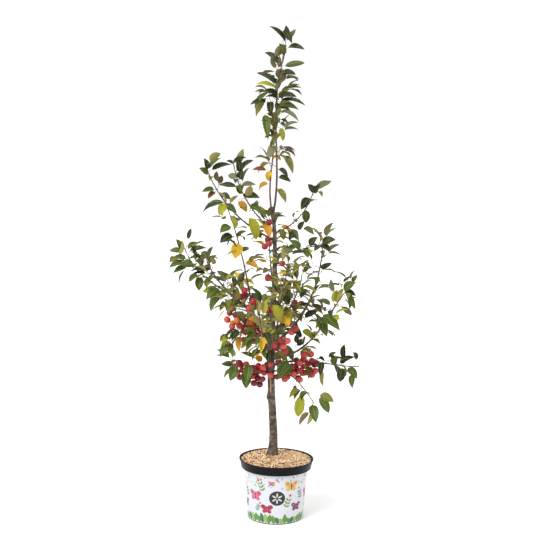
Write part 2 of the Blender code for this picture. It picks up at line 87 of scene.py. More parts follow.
# Pot: radii at heights above its flat underside
GAP = 0.0003
POT_HEIGHT = 0.225
FOOT_RADIUS = 0.1035
WAIST_RADIUS = 0.1195
SHOULDER_HEIGHT = 0.191
SHOULDER_RISE = 0.003
COLLAR_FOOT_RADIUS = 0.132
COLLAR_TOP_RADIUS = 0.140
LIP_HEIGHT = 0.004
LIP_PROUD = 0.0012
WALL = 0.0025
FOOT_ROUNDING = 0.00125
LIP_ROUNDING = 0.0008
LIP_UNDERSIDE = 0.006
LIP_EDGE_IN, LIP_EDGE_DOWN, LIP_EDGE_UP = 0.0003, 0.0002, 0.0006
COLLAR_ROUNDING = 0.0010
MID_ROUND = 0.3
SLEEVE_THICKNESS = 0.0010
SLEEVE_FOOT = 0.003
POT_SIDES = 144
POT_BLACK = (7, 8, 11)

# Print on the sleeve: its inks, how far the lowest layer of ink and each further one
# stand out, how many layers there are, and rings in a filled outline
INKS = {
    "leaf_green": (84, 128, 50), "pale_green": (130, 158, 92), "deep_green": (44, 104, 62),
    "yellow": (198, 158, 58), "orange": (188, 108, 44), "pink": (188, 92, 118),
    "red": (158, 32, 52), "plum": (98, 44, 74), "sky": (138, 166, 186), "charcoal": (26, 27, 30),
    "cream": (190, 190, 186),
}
INK_LIFT = 0.00008
INK_LAYER = 0.00003
INK_LAYERS = 12
PATCH_RINGS = 4

# Motifs come again round each of these turns, with 270 in front. Butterflies: degrees
# from there, height, size, inks of wings and spots
MOTIF_TURNS = (270, 30, 150)
BUTTERFLIES = (
    (30, 0.146, 0.026, "yellow", "orange"),
    (-42, 0.104, 0.026, "pink", "red"),
    (-17, 0.058, 0.022, "red", "plum"),
    (44, 0.064, 0.021, "plum", "pink"),
    (-8, 0.158, 0.012, "pink", "yellow"),
)

# Both wings of one side and their spot, as shares of a butterfly's size: place out
# and up, half width, half height; and the tilt in degrees. Then its body
WINGS = ((0.55, 0.35, 0.55, 0.40, 30), (0.42, -0.35, 0.40, 0.32, -35), (0.62, 0.40, 0.22, 0.16, 30))
BODY = (0.09, 0.62)

# Sprigs: degrees from the turn, height, size, tilt, inks of leaves and berry. Then
# their stem's half width, and shares of their size: leaf length and width, berry and
# how far out it is, first pair of leaves and step to the next; and how leaves open
SPRIGS = (
    (-28, 0.146, 0.024, 24, "leaf_green", "orange"),
    (24, 0.086, 0.024, -20, "leaf_green", "red"),
    (52, 0.112, 0.022, 18, "deep_green", "pink"),
    (-36, 0.062, 0.018, -30, "deep_green", "red"),
)
STEM = 0.0007
SPRIG_LEAF = (0.62, 0.26)
SPRIG_BERRY = 0.2
SPRIG_BERRY_OUT = 1.1
SPRIG_START, SPRIG_STEP = -0.6, 0.5
SPRIG_OPENING = 48

# Disc: degrees from the turn, height, half width, half height. Leaves on it: how
# many, how far out, length, width
DISC = (3, 0.102, 0.0300, 0.0280)
DISC_LEAVES = (6, 0.0125, 0.019, 0.0062)

# Leafy border round the foot: how many, heights, width, most tilt, where a leaf's
# middle sits as a share of its height, layers of ink, inks in turn
BORDER_LEAVES = 46
BORDER_HEIGHTS = (0.022, 0.042)
BORDER_WIDTH = 0.017
BORDER_TILT = 24
BORDER_SEAT = 0.46
BORDER_LAYERS = 5
BORDER_INKS = ("pale_green", "leaf_green", "leaf_green", "deep_green")

# Loose dots: how many, heights, radii, inks
DOTS = 110
DOT_HEIGHTS = (0.140, 0.184)
DOT_RADII = (0.0016, 0.0042)
DOT_INKS = ("pink", "red", "plum", "sky", "yellow", "pale_green")

# Wood chips
COMPOST_TOP = 0.196
CHIPS_EDGE = 0.2165
CHIPS_MIDDLE = 0.2275
GROUND = 0.2310
CHIPS_FLAT_RADIUS = 0.034
BED_RINGS = 40
BED_SIDES = 120
BED_SCALE = 150
BED_SLICE = 3
BED_ROUGHNESS = 0.0016
BED_SUNK = 0.001

# Loose chips: how many, how many more at the trunk's foot, how far from the edge they
# stay, ranges of length, width and thickness, how their width tapers and their ends are
# ragged, tilt and roll, how high they lie, how near the trunk they come, and how far
# out and up the ones at its foot are heaped
CHIP_COUNT = 2300
FOOT_CHIPS = 150
CHIP_MARGIN = 0.006
CHIP_SIZES = ((0.006, 0.018), (0.0025, 0.0065), (0.001, 0.0022))
CHIP_TAPER = (0.55, 1.0)
CHIP_RAGGED = (0.8, 1.0)
CHIP_TILT = 0.35
CHIP_ROLL = 0.5
CHIP_LIFT = 0.0032
CHIP_CLEARANCE = 0.001
FOOT_GAPS = (0.001, 0.009)
FOOT_RISE = 0.004
CHIP_COLOURS = (
    (222, 188, 148), (200, 160, 118), (238, 216, 184), (158, 112, 74), (84, 54, 36), (214, 174, 130))
CHIP_LOOKS = (0, 0, 0, 1, 1, 2, 2, 2, 3, 4, 5)
CHIP_FACES = ((0, 1, 3, 2), (4, 6, 7, 5), (0, 4, 5, 1), (2, 3, 7, 6), (0, 2, 6, 4), (1, 5, 7, 3))

# Trunk: height, sideways place, place away from the viewer, radius
TRUNK = (
    (GROUND + GAP, -0.0165, 0.000, 0.0265),
    (0.2470, -0.0155, 0.000, 0.0205),
    (0.2750, -0.0138, 0.001, 0.0168),
    (0.3200, -0.0130, 0.002, 0.0153),
    (0.3900, -0.0180, 0.004, 0.0146),
    (0.4700, -0.0240, 0.006, 0.0141),
    (0.6100, -0.0285, 0.007, 0.0130),
    (0.7500, -0.0258, 0.004, 0.0113),
    (0.8900, -0.0220, 0.000, 0.0094),
    (1.0000, -0.0225, -0.003, 0.0080),
    (1.1000, -0.0275, -0.003, 0.0072),
    (1.1460, -0.0350, -0.002, 0.0084),
)
TRUNK_STEPS = 24
TRUNK_SIDES = 40
FLARE_LOBES = 5
FLARE_DEPTH = 0.10
FLARE_TOP = 0.300
FLARE_REACH = 0.022
ROOT_DEPTH = 0.006
ROOT_SPREAD = 1.06

# Bark relief: scale of its noise across and along the stem, and how far it stands
# out, for plates, the cracks in them, and bands round the stem; then for limbs
PLATE_ACROSS, PLATE_ALONG, PLATE_RELIEF = 90, 16, 0.0009
CRACK_SCALE, CRACK_RELIEF = 3.1, 0.0005
BAND_ACROSS, BAND_ALONG, BAND_RELIEF = 20, 160, 0.00040
LIMB_ACROSS, LIMB_ALONG, LIMB_RELIEF = 150, 60, 0.0004

# Swellings of a limb: at its buds, how far apart these are, and at its foot, as a
# share of its radius there, and how far that reaches
BUD_SWELL = 0.00035
BUD_SPACING = 0.030
COLLAR_SWELL = 0.35
COLLAR_LENGTH = 0.018

# Tones of wood, chips, compost and sleeve: position in the grain, and colour
OLD_BARK = ((0.30, (34, 28, 23)), (0.44, (68, 58, 47)), (0.56, (98, 85, 70)), (0.72, (132, 117, 97)))
SCAR_WOOD = ((0.35, (140, 108, 76)), (0.65, (176, 144, 106)))
YOUNG_BARK = ((0.32, (54, 37, 30)), (0.50, (86, 64, 50)), (0.70, (120, 94, 76)))
TWIG_BARK = ((0.35, (84, 52, 40)), (0.65, (132, 92, 66)))
CHIP_TONES = ((0.35, (60, 40, 26)), (0.50, (112, 78, 50)), (0.65, (150, 110, 74)))
CRUMB_TONES = ((0.4, (40, 28, 20)), (0.6, (74, 52, 36)))
SLEEVE_TONES = ((0.30, (190, 195, 202)), (0.50, (195, 198, 204)), (0.70, (199, 197, 203)))
STALK_COLOURS = (("leaf_stalk", (132, 112, 62)), ("fruit_stalk", (112, 66, 44)))
CALYX_COLOUR = (66, 44, 32)

# Floor and light: side and colour of the floor, strength of the sky; lamps by name,
# where each stands, its strength and its spread in degrees
FLOOR_SIDE = 80.0
FLOOR_COLOUR = (254, 254, 254)
SKY_STRENGTH = 1.06
LAMPS = (("key", (-0.62, -0.72, 0.80), 1.9, 28), ("fill", (0.8, -0.45, 0.45), 0.2, 60))

# Knuckles on the trunk: height, heading, how far they stand out, their half height
KNUCKLES = (
    (0.456, 185, 0.0050, 0.012),
    (0.560, 165, 0.0030, 0.012),
    (0.575, 10, 0.0030, 0.012),
    (0.655, 25, 0.0035, 0.014),
    (0.672, 195, 0.0040, 0.016),
    (0.735, 300, 0.0020, 0.010),
    (0.820, 200, 0.0018, 0.008),
    (0.905, 340, 0.0018, 0.008),
    (0.981, 320, 0.0020, 0.008),
    (1.046, 160, 0.0024, 0.010),
    (1.071, 40, 0.0020, 0.009),
)

# Pale scar on the trunk: its lowest and highest point, heading and half width, and
# the length over which it widens
SCAR = (0.470, 0.530, 262, 0.0024)
SCAR_TAPER = 0.012

# A limb: what it springs from, the height or distance along that where it does,
# its heading (0 right, 90 away, 180 left), its slopes at foot, middle and tip in
# degrees, its length, and its radii at foot and tip
Limb = namedtuple("Limb", "parent at heading slopes length foot tip")
LIMBS = {
    "leader_main": Limb("trunk", 1.136, 14, (79, 93, 76), 0.545, 0.0040, 0.0020),
    "leader_side": Limb("trunk", 1.136, 175, (73, 95, 82), 0.340, 0.0035, 0.0018),
    "bough_left_low": Limb("trunk", 0.564, 165, (-6, 5, -6), 0.193, 0.0046, 0.0024),
    "bough_left_main": Limb("trunk", 0.672, 195, (66, 41, 68), 0.388, 0.0068, 0.0022),
    "bough_left_upright": Limb("bough_left_main", 0.120, 205, (78, 75, 66), 0.416, 0.0038, 0.0016),
    "bough_left_far": Limb("bough_left_main", 0.230, 160, (24, 39, 74), 0.284, 0.0032, 0.0015),
    "bough_left_high": Limb("trunk", 1.046, 160, (19, 43, 68), 0.397, 0.0040, 0.0016),
    "bough_left_inner": Limb("trunk", 1.075, 215, (33, 53, 81), 0.329, 0.0034, 0.0015),
    "bough_right_low": Limb("trunk", 0.573, 10, (22, -7, 0), 0.344, 0.0044, 0.0016),
    "bough_right_drooping": Limb("trunk", 0.548, 310, (29, -22, -39), 0.273, 0.0034, 0.0015),
    "bough_right_main": Limb("trunk", 0.654, 25, (26, 64, 88), 0.458, 0.0058, 0.0018),
    "bough_right_far": Limb("trunk", 0.604, 345, (0, 54, 49), 0.439, 0.0046, 0.0017),
    "bough_right_mid": Limb("trunk", 0.981, 320, (20, 15, 10), 0.263, 0.0027, 0.0014),
    "bough_right_high": Limb("trunk", 1.071, 40, (14, 41, 77), 0.276, 0.0030, 0.0015),
    "bough_front_low": Limb("trunk", 0.612, 262, (18, 32, 50), 0.370, 0.0046, 0.0018),
    "bough_front_left": Limb("trunk", 0.640, 225, (30, 42, 58), 0.300, 0.0042, 0.0018),
    "bough_front_high": Limb("trunk", 0.720, 290, (45, 60, 75), 0.320, 0.0040, 0.0016),
    "bough_back_low": Limb("trunk", 0.590, 85, (15, 30, 50), 0.380, 0.0048, 0.0018),
    "bough_back_left": Limb("trunk", 0.705, 130, (20, 30, 45), 0.300, 0.0040, 0.0017),
    "bough_back_right": Limb("trunk", 0.690, 62, (20, 40, 60), 0.320, 0.0042, 0.0017),
    "bough_back_high": Limb("trunk", 0.850, 100, (40, 58, 72), 0.310, 0.0036, 0.0016),
    "spray_left_tip": Limb("bough_left_far", 0.125, 195, (40, 28, -13), 0.150, 0.0019, 0.0011),
    "spray_left_fruit": Limb("bough_left_main", 0.050, 205, (5, -10, -25), 0.140, 0.0024, 0.0012),
    "spray_right_shoot": Limb("bough_right_main", 0.118, 40, (85, 97, 109), 0.200, 0.0020, 0.0011),
}
AXIS_STEPS = 24
LIMB_SIDES = 10
LIMB_STEP = 0.005

# A stretch of limb that the rule covers with leaves: limb, where it starts and
# ends, distance between buds, share of leaves that point sideways as seen from
# the front, mix of tints
Leafy = namedtuple("Leafy", "limb start end step sideways mix")
LEAFY = (
    Leafy("leader_main", 0.180, 0.540, 0.017, 0.45, "top"),
    Leafy("leader_side", 0.180, 0.335, 0.026, 0.30, "top"),
    Leafy("bough_left_low", 0.045, 0.165, 0.020, 0.8, "low"),
    Leafy("spray_left_fruit", 0.020, 0.140, 0.016, 0.8, "gold"),
    Leafy("bough_left_main", 0.110, 0.385, 0.015, 0.8, "mixed"),
    Leafy("bough_left_upright", 0.040, 0.410, 0.034, 0.4, "mixed"),
    Leafy("spray_left_tip", 0.020, 0.145, 0.046, 0.4, "low"),
    Leafy("bough_left_far", 0.030, 0.270, 0.042, 0.5, "low"),
    Leafy("bough_left_high", 0.090, 0.390, 0.040, 0.4, "deep"),
    Leafy("bough_left_inner", 0.080, 0.320, 0.042, 0.4, "deep"),
    Leafy("bough_right_low", 0.040, 0.340, 0.024, 0.7, "deep"),
    Leafy("bough_right_drooping", 0.110, 0.270, 0.036, 0.6, "deep"),
    Leafy("bough_right_main", 0.120, 0.440, 0.023, 0.8, "deep"),
    Leafy("spray_right_shoot", 0.020, 0.195, 0.034, 0.8, "deep"),
    Leafy("bough_right_far", 0.090, 0.435, 0.015, 0.8, "deep"),
    Leafy("bough_right_mid", 0.060, 0.250, 0.050, 0.5, "low"),
    Leafy("bough_right_high", 0.060, 0.260, 0.048, 0.4, "low"),
    Leafy("bough_front_low", 0.070, 0.365, 0.012, 0.9, "mixed"),
    Leafy("bough_front_left", 0.070, 0.295, 0.012, 0.9, "mixed"),
    Leafy("bough_front_high", 0.060, 0.315, 0.013, 0.9, "mixed"),
    Leafy("bough_back_low", 0.070, 0.375, 0.013, 0.9, "deep"),
    Leafy("bough_back_left", 0.070, 0.295, 0.013, 0.9, "mixed"),
    Leafy("bough_back_right", 0.060, 0.315, 0.013, 0.9, "deep"),
    Leafy("bough_back_high", 0.060, 0.305, 0.015, 0.9, "mixed"),
)

# Tints of a leaf: its upper face and its underside, as red, green, blue of 255
TINTS = {
    "dark": ((40, 50, 19), (100, 100, 62)),
    "green": ((70, 88, 28), (116, 120, 66)),
    "olive": ((106, 104, 36), (136, 128, 72)),
    "grey": ((102, 106, 70), (130, 126, 92)),
    "bronze": ((84, 70, 36), (106, 98, 66)),
    "lime": ((150, 152, 40), (164, 160, 66)),
    "yellow": ((206, 166, 38), (206, 176, 74)),
    "gold": ((182, 128, 34), (186, 142, 66)),
    "rust": ((112, 62, 32), (132, 92, 58)),
}
MIXES = {
    "top": "dark dark dark dark bronze green green grey olive".split(),
    "deep": "dark dark dark green green green green olive olive bronze lime".split(),
    "mixed": "dark dark dark green green green green olive olive olive lime lime yellow".split(),
    "low": "dark green green green olive lime".split(),
    "gold": "green olive lime gold yellow dark dark green green".split(),
}

# Leaves with a named place, by limb: pixel of the blade's foot, pixel of its tip,
# its width in pixels, the face that shows (t upper, u underside, e edge), its tint
SHOWN = (
    ("leader_main", (
        (286, 38, 286, 25, 4, "e", "dark"), (287, 40, 296, 29, 6, "u", "bronze"),
        (285, 42, 269, 26, 6, "e", "dark"), (288, 48, 305, 50, 4, "e", "dark"),
        (286, 45, 275, 57, 10, "u", "bronze"), (281, 67, 264, 53, 7, "t", "dark"),
        (285, 66, 305, 63, 6, "u", "dark"), (283, 69, 281, 83, 9, "u", "bronze"),
        (277, 84, 256, 73, 7, "t", "dark"), (276, 89, 256, 84, 6, "t", "lime"),
        (281, 80, 276, 90, 6, "u", "bronze"), (281, 92, 302, 88, 7, "t", "olive"),
    )),
    ("leader_side", (
        (268, 93, 255, 110, 7, "t", "green"),
    )),
    ("leader_main", (
        (280, 102, 306, 106, 8, "t", "dark"),
    )),
    ("leader_side", (
        (266, 102, 250, 105, 6, "t", "dark"), (265, 115, 268, 140, 8, "t", "green"),
    )),
    ("leader_main", (
        (270, 102, 271, 116, 8, "t", "dark"), (280, 112, 299, 122, 7, "t", "grey"),
        (280, 123, 286, 129, 5, "t", "grey"), (280, 128, 283, 141, 6, "t", "lime"),
        (285, 150, 295, 157, 5, "t", "rust"), (285, 156, 293, 174, 8, "t", "olive"),
        (279, 169, 288, 178, 6, "t", "dark"), (279, 177, 291, 182, 4, "e", "dark"),
        (278, 189, 286, 203, 7, "t", "olive"),
    )),
    ("leader_side", (
        (266, 170, 252, 170, 5, "t", "rust"), (271, 171, 269, 181, 7, "t", "yellow"),
        (268, 184, 259, 191, 8, "t", "gold"),
    )),
    ("bough_left_inner", (
        (240, 172, 238, 157, 6, "t", "dark"), (240, 172, 254, 160, 7, "t", "dark"),
        (240, 179, 243, 170, 7, "t", "dark"), (236, 178, 228, 175, 4, "e", "grey"),
        (236, 187, 218, 185, 6, "t", "dark"), (239, 192, 244, 185, 6, "t", "green"),
        (241, 194, 236, 187, 5, "t", "dark"), (243, 195, 260, 198, 8, "t", "dark"),
        (242, 186, 256, 185, 6, "t", "grey"), (238, 202, 247, 212, 7, "t", "gold"),
        (250, 205, 262, 214, 7, "t", "green"), (249, 218, 256, 240, 10, "t", "lime"),
    )),
    ("bough_left_high", (
        (208, 169, 204, 158, 6, "t", "dark"), (209, 168, 221, 158, 7, "t", "green"),
        (212, 170, 232, 165, 7, "t", "dark"), (208, 174, 199, 168, 6, "t", "green"),
        (214, 190, 202, 192, 6, "t", "green"), (215, 192, 208, 199, 6, "t", "rust"),
        (220, 195, 231, 200, 7, "t", "dark"), (223, 203, 202, 213, 9, "t", "dark"),
        (225, 204, 219, 216, 8, "t", "lime"), (225, 206, 237, 213, 8, "t", "green"),
    )),
    ("bough_left_upright", (
        (236, 228, 231, 217, 6, "t", "lime"), (230, 226, 220, 233, 8, "t", "green"),
        (232, 235, 220, 243, 8, "t", "dark"), (237, 238, 247, 231, 7, "t", "green"),
        (239, 244, 235, 259, 11, "t", "yellow"), (246, 262, 259, 269, 7, "t", "gold"),
    )),
    ("bough_left_far", (
        (204, 262, 195, 261, 6, "t", "green"), (208, 263, 217, 255, 6, "t", "green"),
    )),
    ("spray_left_tip", (
        (193, 266, 180, 264, 9, "t", "green"),
    )),
    ("bough_left_far", (
        (183, 262, 169, 268, 7, "t", "green"), (186, 266, 173, 273, 6, "t", "green"),
        (186, 259, 173, 257, 6, "t", "green"), (182, 249, 176, 239, 6, "t", "green"),
        (182, 252, 169, 251, 6, "t", "green"), (190, 250, 207, 248, 4, "e", "green"),
        (188, 249, 198, 242, 6, "t", "green"),
    )),
    ("spray_left_tip", (
        (200, 277, 199, 291, 8, "t", "green"), (198, 275, 189, 282, 7, "t", "green"),
    )),
    ("bough_left_main", (
        (219, 289, 206, 300, 9, "t", "green"), (222, 293, 211, 312, 10, "t", "green"),
        (218, 290, 202, 292, 7, "t", "lime"),
    )),
    ("bough_right_high", (
        (314, 193, 308, 184, 6, "t", "dark"), (315, 193, 320, 184, 6, "t", "dark"),
        (316, 189, 332, 181, 7, "t", "grey"), (309, 198, 301, 210, 8, "t", "dark"),
        (306, 210, 306, 223, 7, "t", "green"), (304, 228, 314, 235, 7, "t", "green"),
        (299, 230, 305, 221, 6, "t", "dark"), (295, 232, 289, 241, 6, "t", "dark"),
    )),
    ("bough_right_mid", (
        (300, 249, 289, 240, 7, "t", "green"), (310, 246, 318, 237, 7, "t", "dark"),
        (322, 243, 336, 240, 8, "t", "dark"), (320, 245, 331, 252, 7, "t", "dark"),
        (305, 248, 308, 258, 7, "t", "green"),
    )),
    ("bough_right_far", (
        (344, 290, 356, 282, 8, "t", "green"), (345, 292, 356, 296, 7, "t", "dark"),
    )),
    ("bough_right_low", (
        (340, 363, 355, 357, 8, "t", "dark"), (342, 368, 340, 382, 8, "t", "dark"),
        (348, 368, 357, 379, 8, "t", "green"), (335, 363, 330, 354, 6, "t", "dark"),
    )),
    ("bough_right_drooping", (
        (302, 395, 298, 417, 9, "t", "lime"), (312, 405, 316, 423, 8, "t", "green"),
        (319, 398, 329, 413, 8, "t", "green"), (320, 395, 334, 402, 7, "t", "olive"),
    )),
    ("bough_left_low", (
        (233, 365, 221, 364, 6, "t", "green"), (237, 368, 230, 381, 8, "t", "green"),
        (246, 372, 246, 389, 9, "t", "green"),
    )),
    ("bough_front_high", (
        (273, 305, 281, 321, 9, "t", "lime"),
    )),
    ("bough_right_far", (
        (318, 317, 327, 337, 9, "t", "green"), (323, 315, 340, 331, 9, "t", "green"),
    )),
    ("bough_right_main", (
        (303, 330, 313, 339, 7, "t", "lime"), (305, 318, 318, 311, 7, "t", "dark"),
    )),
    ("bough_front_low", (
        (284, 345, 293, 361, 8, "t", "green"), (291, 366, 280, 379, 8, "t", "green"),
    )),
    ("bough_left_low", (
        (256, 357, 264, 350, 6, "t", "yellow"), (262, 361, 255, 357, 6, "t", "gold"),
        (272, 361, 268, 354, 6, "t", "yellow"), (249, 364, 247, 383, 8, "t", "green"),
        (234, 366, 230, 379, 7, "t", "green"),
    )),
    ("bough_right_low", (
        (288, 362, 278, 378, 9, "t", "green"),
    )),
    ("bough_front_low", (
        (277, 352, 288, 362, 7, "t", "olive"),
    )),
    ("spray_left_fruit", (
        (236, 312, 244, 322, 7, "t", "olive"), (256, 322, 248, 318, 6, "t", "gold"),
    )),
    ("bough_left_main", (
        (240, 300, 228, 306, 7, "t", "green"),
    )),
    ("bough_left_low", (
        (268, 360, 260, 352, 6, "t", "gold"),
    )),
    ("leader_main", (
        (284, 30, 292, 44, 7, "t", "dark"), (284, 55, 279, 43, 7, "t", "green"),
        (282, 74, 296, 75, 8, "t", "dark"), (280, 97, 297, 97, 8, "t", "dark"),
        (278, 96, 262, 92, 8, "t", "dark"), (279, 100, 265, 97, 7, "t", "green"),
        (279, 108, 292, 115, 8, "t", "dark"), (279, 106, 299, 110, 8, "t", "green"),
    )),
    ("leader_side", (
        (266, 98, 256, 117, 7, "t", "olive"), (267, 118, 275, 128, 7, "t", "olive"),
    )),
    ("leader_main", (
        (281, 134, 272, 147, 6, "t", "olive"), (281, 160, 272, 157, 6, "t", "gold"),
    )),
    ("bough_left_inner", (
        (234, 163, 247, 158, 6, "t", "dark"), (233, 164, 226, 161, 5, "t", "dark"),
        (266, 223, 270, 238, 7, "t", "gold"),
    )),
    ("bough_left_high", (
        (260, 238, 254, 229, 6, "t", "olive"),
    )),
    ("bough_right_high", (
        (281, 227, 292, 233, 6, "t", "gold"), (280, 229, 284, 240, 6, "t", "olive"),
        (290, 232, 299, 241, 5, "t", "green"),
    )),
    ("bough_right_low", (
        (322, 362, 320, 376, 6, "t", "dark"), (333, 365, 338, 356, 7, "t", "green"),
    )),
)

# Fruit seen from the front: limb, middle of the cluster in pixels, half width and
# half height of the cluster, how many, and how many of them are still yellow
CLUSTERS = (
    ("bough_left_low", 241, 370, 8, 8, 9, 0),
    ("bough_left_low", 255, 375, 9, 10, 13, 0),
    ("bough_left_low", 267, 370, 5, 8, 6, 0),
    ("bough_right_low", 285, 371, 8, 10, 10, 0),
    ("bough_right_low", 299, 369, 8, 11, 12, 0),
    ("bough_right_low", 312, 366, 6, 8, 7, 0),
    ("spray_left_fruit", 235, 320, 9, 8, 8, 2),
    ("spray_left_fruit", 250, 327, 10, 8, 9, 3),
    ("spray_left_fruit", 260, 333, 4, 5, 3, 1),
    ("bough_left_main", 244, 295, 4, 5, 3, 0),
    ("bough_left_main", 252, 306, 5, 5, 3, 0),
    ("bough_front_low", 281, 346, 8, 9, 6, 0),
    ("bough_front_high", 294, 328, 4, 6, 2, 0),
    ("bough_front_high", 272, 309, 3, 3, 2, 0),
    ("bough_right_mid", 281, 263, 2, 2, 1, 0),
    ("bough_left_high", 267, 244, 5, 5, 3, 0),
    ("bough_left_inner", 268, 222, 2, 2, 1, 0),
)

# Fruit on the far side: limb, distance along it, how many
FAR_CLUSTERS = (
    ("bough_back_low", 0.120, 5),
    ("bough_back_low", 0.230, 4),
    ("bough_back_left", 0.130, 4),
    ("bough_back_right", 0.140, 5),
    ("bough_back_right", 0.240, 3),
    ("bough_back_high", 0.120, 3),
    ("bough_right_far", 0.150, 3),
    ("bough_front_left", 0.140, 4),
)

# Fruit: middle radius, its spread, mesh, how often each tint comes up, and tints
FRUIT_RADIUS = 0.0128
FRUIT_MIX = "crimson crimson crimson deep_red deep_red rose rose".split()
FRUIT_SPREAD = (0.91, 1.05)
FRUIT_RINGS = 12
FRUIT_SIDES = 16
FRUIT_TINTS = {
    "crimson": (156, 36, 40),
    "deep_red": (118, 26, 32),
    "rose": (188, 70, 64),
    "amber": (206, 122, 44),
}

# Dimples of a fruit at its stalk and its eye: depth and width; its faint ribs; its
# height as a share of its width, and how far up its stalk ends as a share of its radius
STALK_DIMPLE = (0.22, 0.33)
EYE_DIMPLE = (0.15, 0.28)
RIBS = 5
RIB_DEPTH = 0.012
FRUIT_HEIGHT = 0.96
STALK_SEAT = 0.74

# Calyx, as shares of the fruit's radius: how far down it sits, its half thickness, and
# how far out and down its points and the notches between them are
CALYX_POINTS = 5
CALYX_SEAT = 0.78
CALYX_THICKNESS = 0.06
CALYX_POINT = (0.26, 0.20)
CALYX_NOTCH = (0.12, 0.10)

# How fruit is pushed apart: rounds, share of the overlap that each takes up, weight of
# the push sideways, share of two radii at which they touch
PUSH_ROUNDS = 60
PUSH_SHARE = 0.6
PUSH_SIDEWAYS = 0.5
FRUIT_TOUCH = 0.99

# How fruit hangs: pixels below what carries it, sway in radians, pull of its stalk on
# it, how far the stalk points forward, place behind its limb where it is seen from the
# front, and distances out and down on the far side
HANG_PIXELS = 8
SWAY = 0.3
PULL_OF_STALK = 0.5
STALK_FORWARD = 0.3
HANG_DEPTH = (-0.046, 0.004)
HANG_OUT = (0.010, 0.020)
HANG_DOWN = (0.030, 0.044)

# Leaf blade: share of its half width at shares of its length
BLADE = ((0.0, 0.0), (0.05, 0.36), (0.12, 0.68), (0.22, 0.90), (0.36, 1.0), (0.50, 0.96),
         (0.64, 0.80), (0.77, 0.56), (0.88, 0.29), (0.95, 0.12), (1.0, 0.0))
LEAF_ROWS = 13
LEAF_COLUMNS = (-1.0, -0.5, -0.07, 0.07, 0.5, 1.0)
MIDRIB_STRIP = 2
LEAF_THICKNESS = 0.0005

# Leaf surface: how far its edge ripples and how often, how far its two sides are out
# of step, its twist in radians, how far its teeth stand out, how deep its quilting is
RIPPLE = 0.10
RIPPLES = 9
SIDE_STEP = 2
TWIST = 0.35
TOOTH = 0.05
QUILT = 0.00025

# Ranges of fold and arch of a blade, in radians
FOLD = (0.20, 0.65)
SHOWN_FOLD = (0.25, 0.6)
ARCH = (0.35, 1.25)
LEADER_ARCH = (0.8, 1.5)
SHOWN_ARCH = (0.4, 1.0)
FLATTEST = 0.02

# Most leaves in one joined piece, and how far a leaf may pass the solids' box
MOST_LEAVES = 700
PAST_BOX = 0.014

# Limbs whose tips carry leaves with a named place, so the rule adds none there
SHOWN_TIPS = ("leader_main", "bough_left_low", "bough_left_far", "bough_left_high", "bough_left_inner",
              "spray_left_tip", "bough_right_high", "bough_right_mid", "bough_right_drooping")

# Pixels that no leaf passes at the left and right of the image
FURTHEST_LEFT, FURTHEST_RIGHT = 168, 359

# How many leaves a spur may carry where the limb is sparse, even or thick, the
# distances between buds that part the three, and how many leaves end a limb
SPARSE, EVEN, THICK = (1, 1, 2, 2), (1, 2, 3, 3), (2, 3, 3, 4)
SPARSE_STEP = 0.028
THICK_STEP = 0.0135
TIP_LEAVES = 3

# What the rule draws from: lengths of spur, leaf stalk and blade, a blade's width as a
# share of its length; then the turn from bud to bud, and how many leaves stray in tint
SPUR = (0.004, 0.030)
LEAF_STALK = (0.012, 0.022)
BLADE_LENGTH = (0.042, 0.062)
BLADE_SHAPE = (0.40, 0.52)
BUD_TURN = 2.4
STRAY_TINTS = 0.3

# More that it draws: spread of the turn and of the step from bud to bud, how far a
# spur heads sideways before it may be turned, how far it points forward, how far a
# leaf opens from it, rise of its stalk, most droop, and most tilt
BUD_TURN_SPREAD = 0.4
STEP_SPREAD = (0.75, 1.25)
SIDEWAYS = 0.6
SPUR_FORWARD = (0.4, 0.9)
LEAF_OPENING = (0.3, 1.0)
STALK_RISE = 0.15
DROOP = 0.8
TILT = 0.7

# Leaves with a named place: real size of a pixel at the trunk, how much wider they are
# made than they show because they are folded, width of one seen edge on, the longest
# stalk without a twig, and how far short of the leaf a twig ends
PIXEL = 0.00372
LEADER_BREADTH = 1.08
SHOWN_BREADTH = 1.25
EDGE_WIDTH = 0.026
LONGEST_STALK = 0.034
TWIG_SHORT_OF_LEAF = 0.018
STALK_BACK = 0.004

# More of them: how far each is before or behind its limb, how far its tip leans in
# depth as a share of its length, the way to the viewer, how much a face that shows
# looks up, least width as a share of length, and how far one seen edge on turns
DEPTH_SPREAD = 0.012
SHOWN_LEAN = (0.15, 0.55)
VIEWER = Vector((0, -1, 0.15))
UPPER_LOOKS_UP = (0.5, 1.1)
UNDER_LOOKS_UP = (0.4, 0.8)
UPPER_LEAST, UNDER_LEAST = 0.32, 0.36
EDGE_TURN = 0.12

# Twigs and stalks: radii at foot and tip, steps and sides of their tubes, a stalk's
# radius at its foot and what each step takes off it, as shares; radii of stalks
TWIG_RADII = (0.0012, 0.0008)
SPUR_RADII = (0.0013, 0.0009)
TWIG_STEPS = 6
TWIG_SIDES = 6
STALK_STEPS = 4
STALK_SIDES = 5
STALK_TAPER = (1.25, 0.08)
THIN_STALK = 0.0006
STALK_RADIUS = 0.0007
FRUIT_STALK_RADIUS = 0.0008

# Share of rule leaves left out before a cluster of fruit, how near counts in pixels
# and metres, and how far a shown leaf stands in front of one
FRUIT_SHOWS = 0.8
NEAR_CLUSTER = 3
NEAR_DEPTH = 0.03
BEFORE_FRUIT = 0.062


def linear(channel):
    """Linear light of a display value of 255."""
    share = channel / 255.0
    return share / 12.92 if share <= 0.04045 else ((share + 0.055) / 1.055) ** 2.4


def tone(colour):
    """A display colour of 255 as red, green, blue and alpha in linear light."""
    return (linear(colour[0]), linear(colour[1]), linear(colour[2]), 1.0)


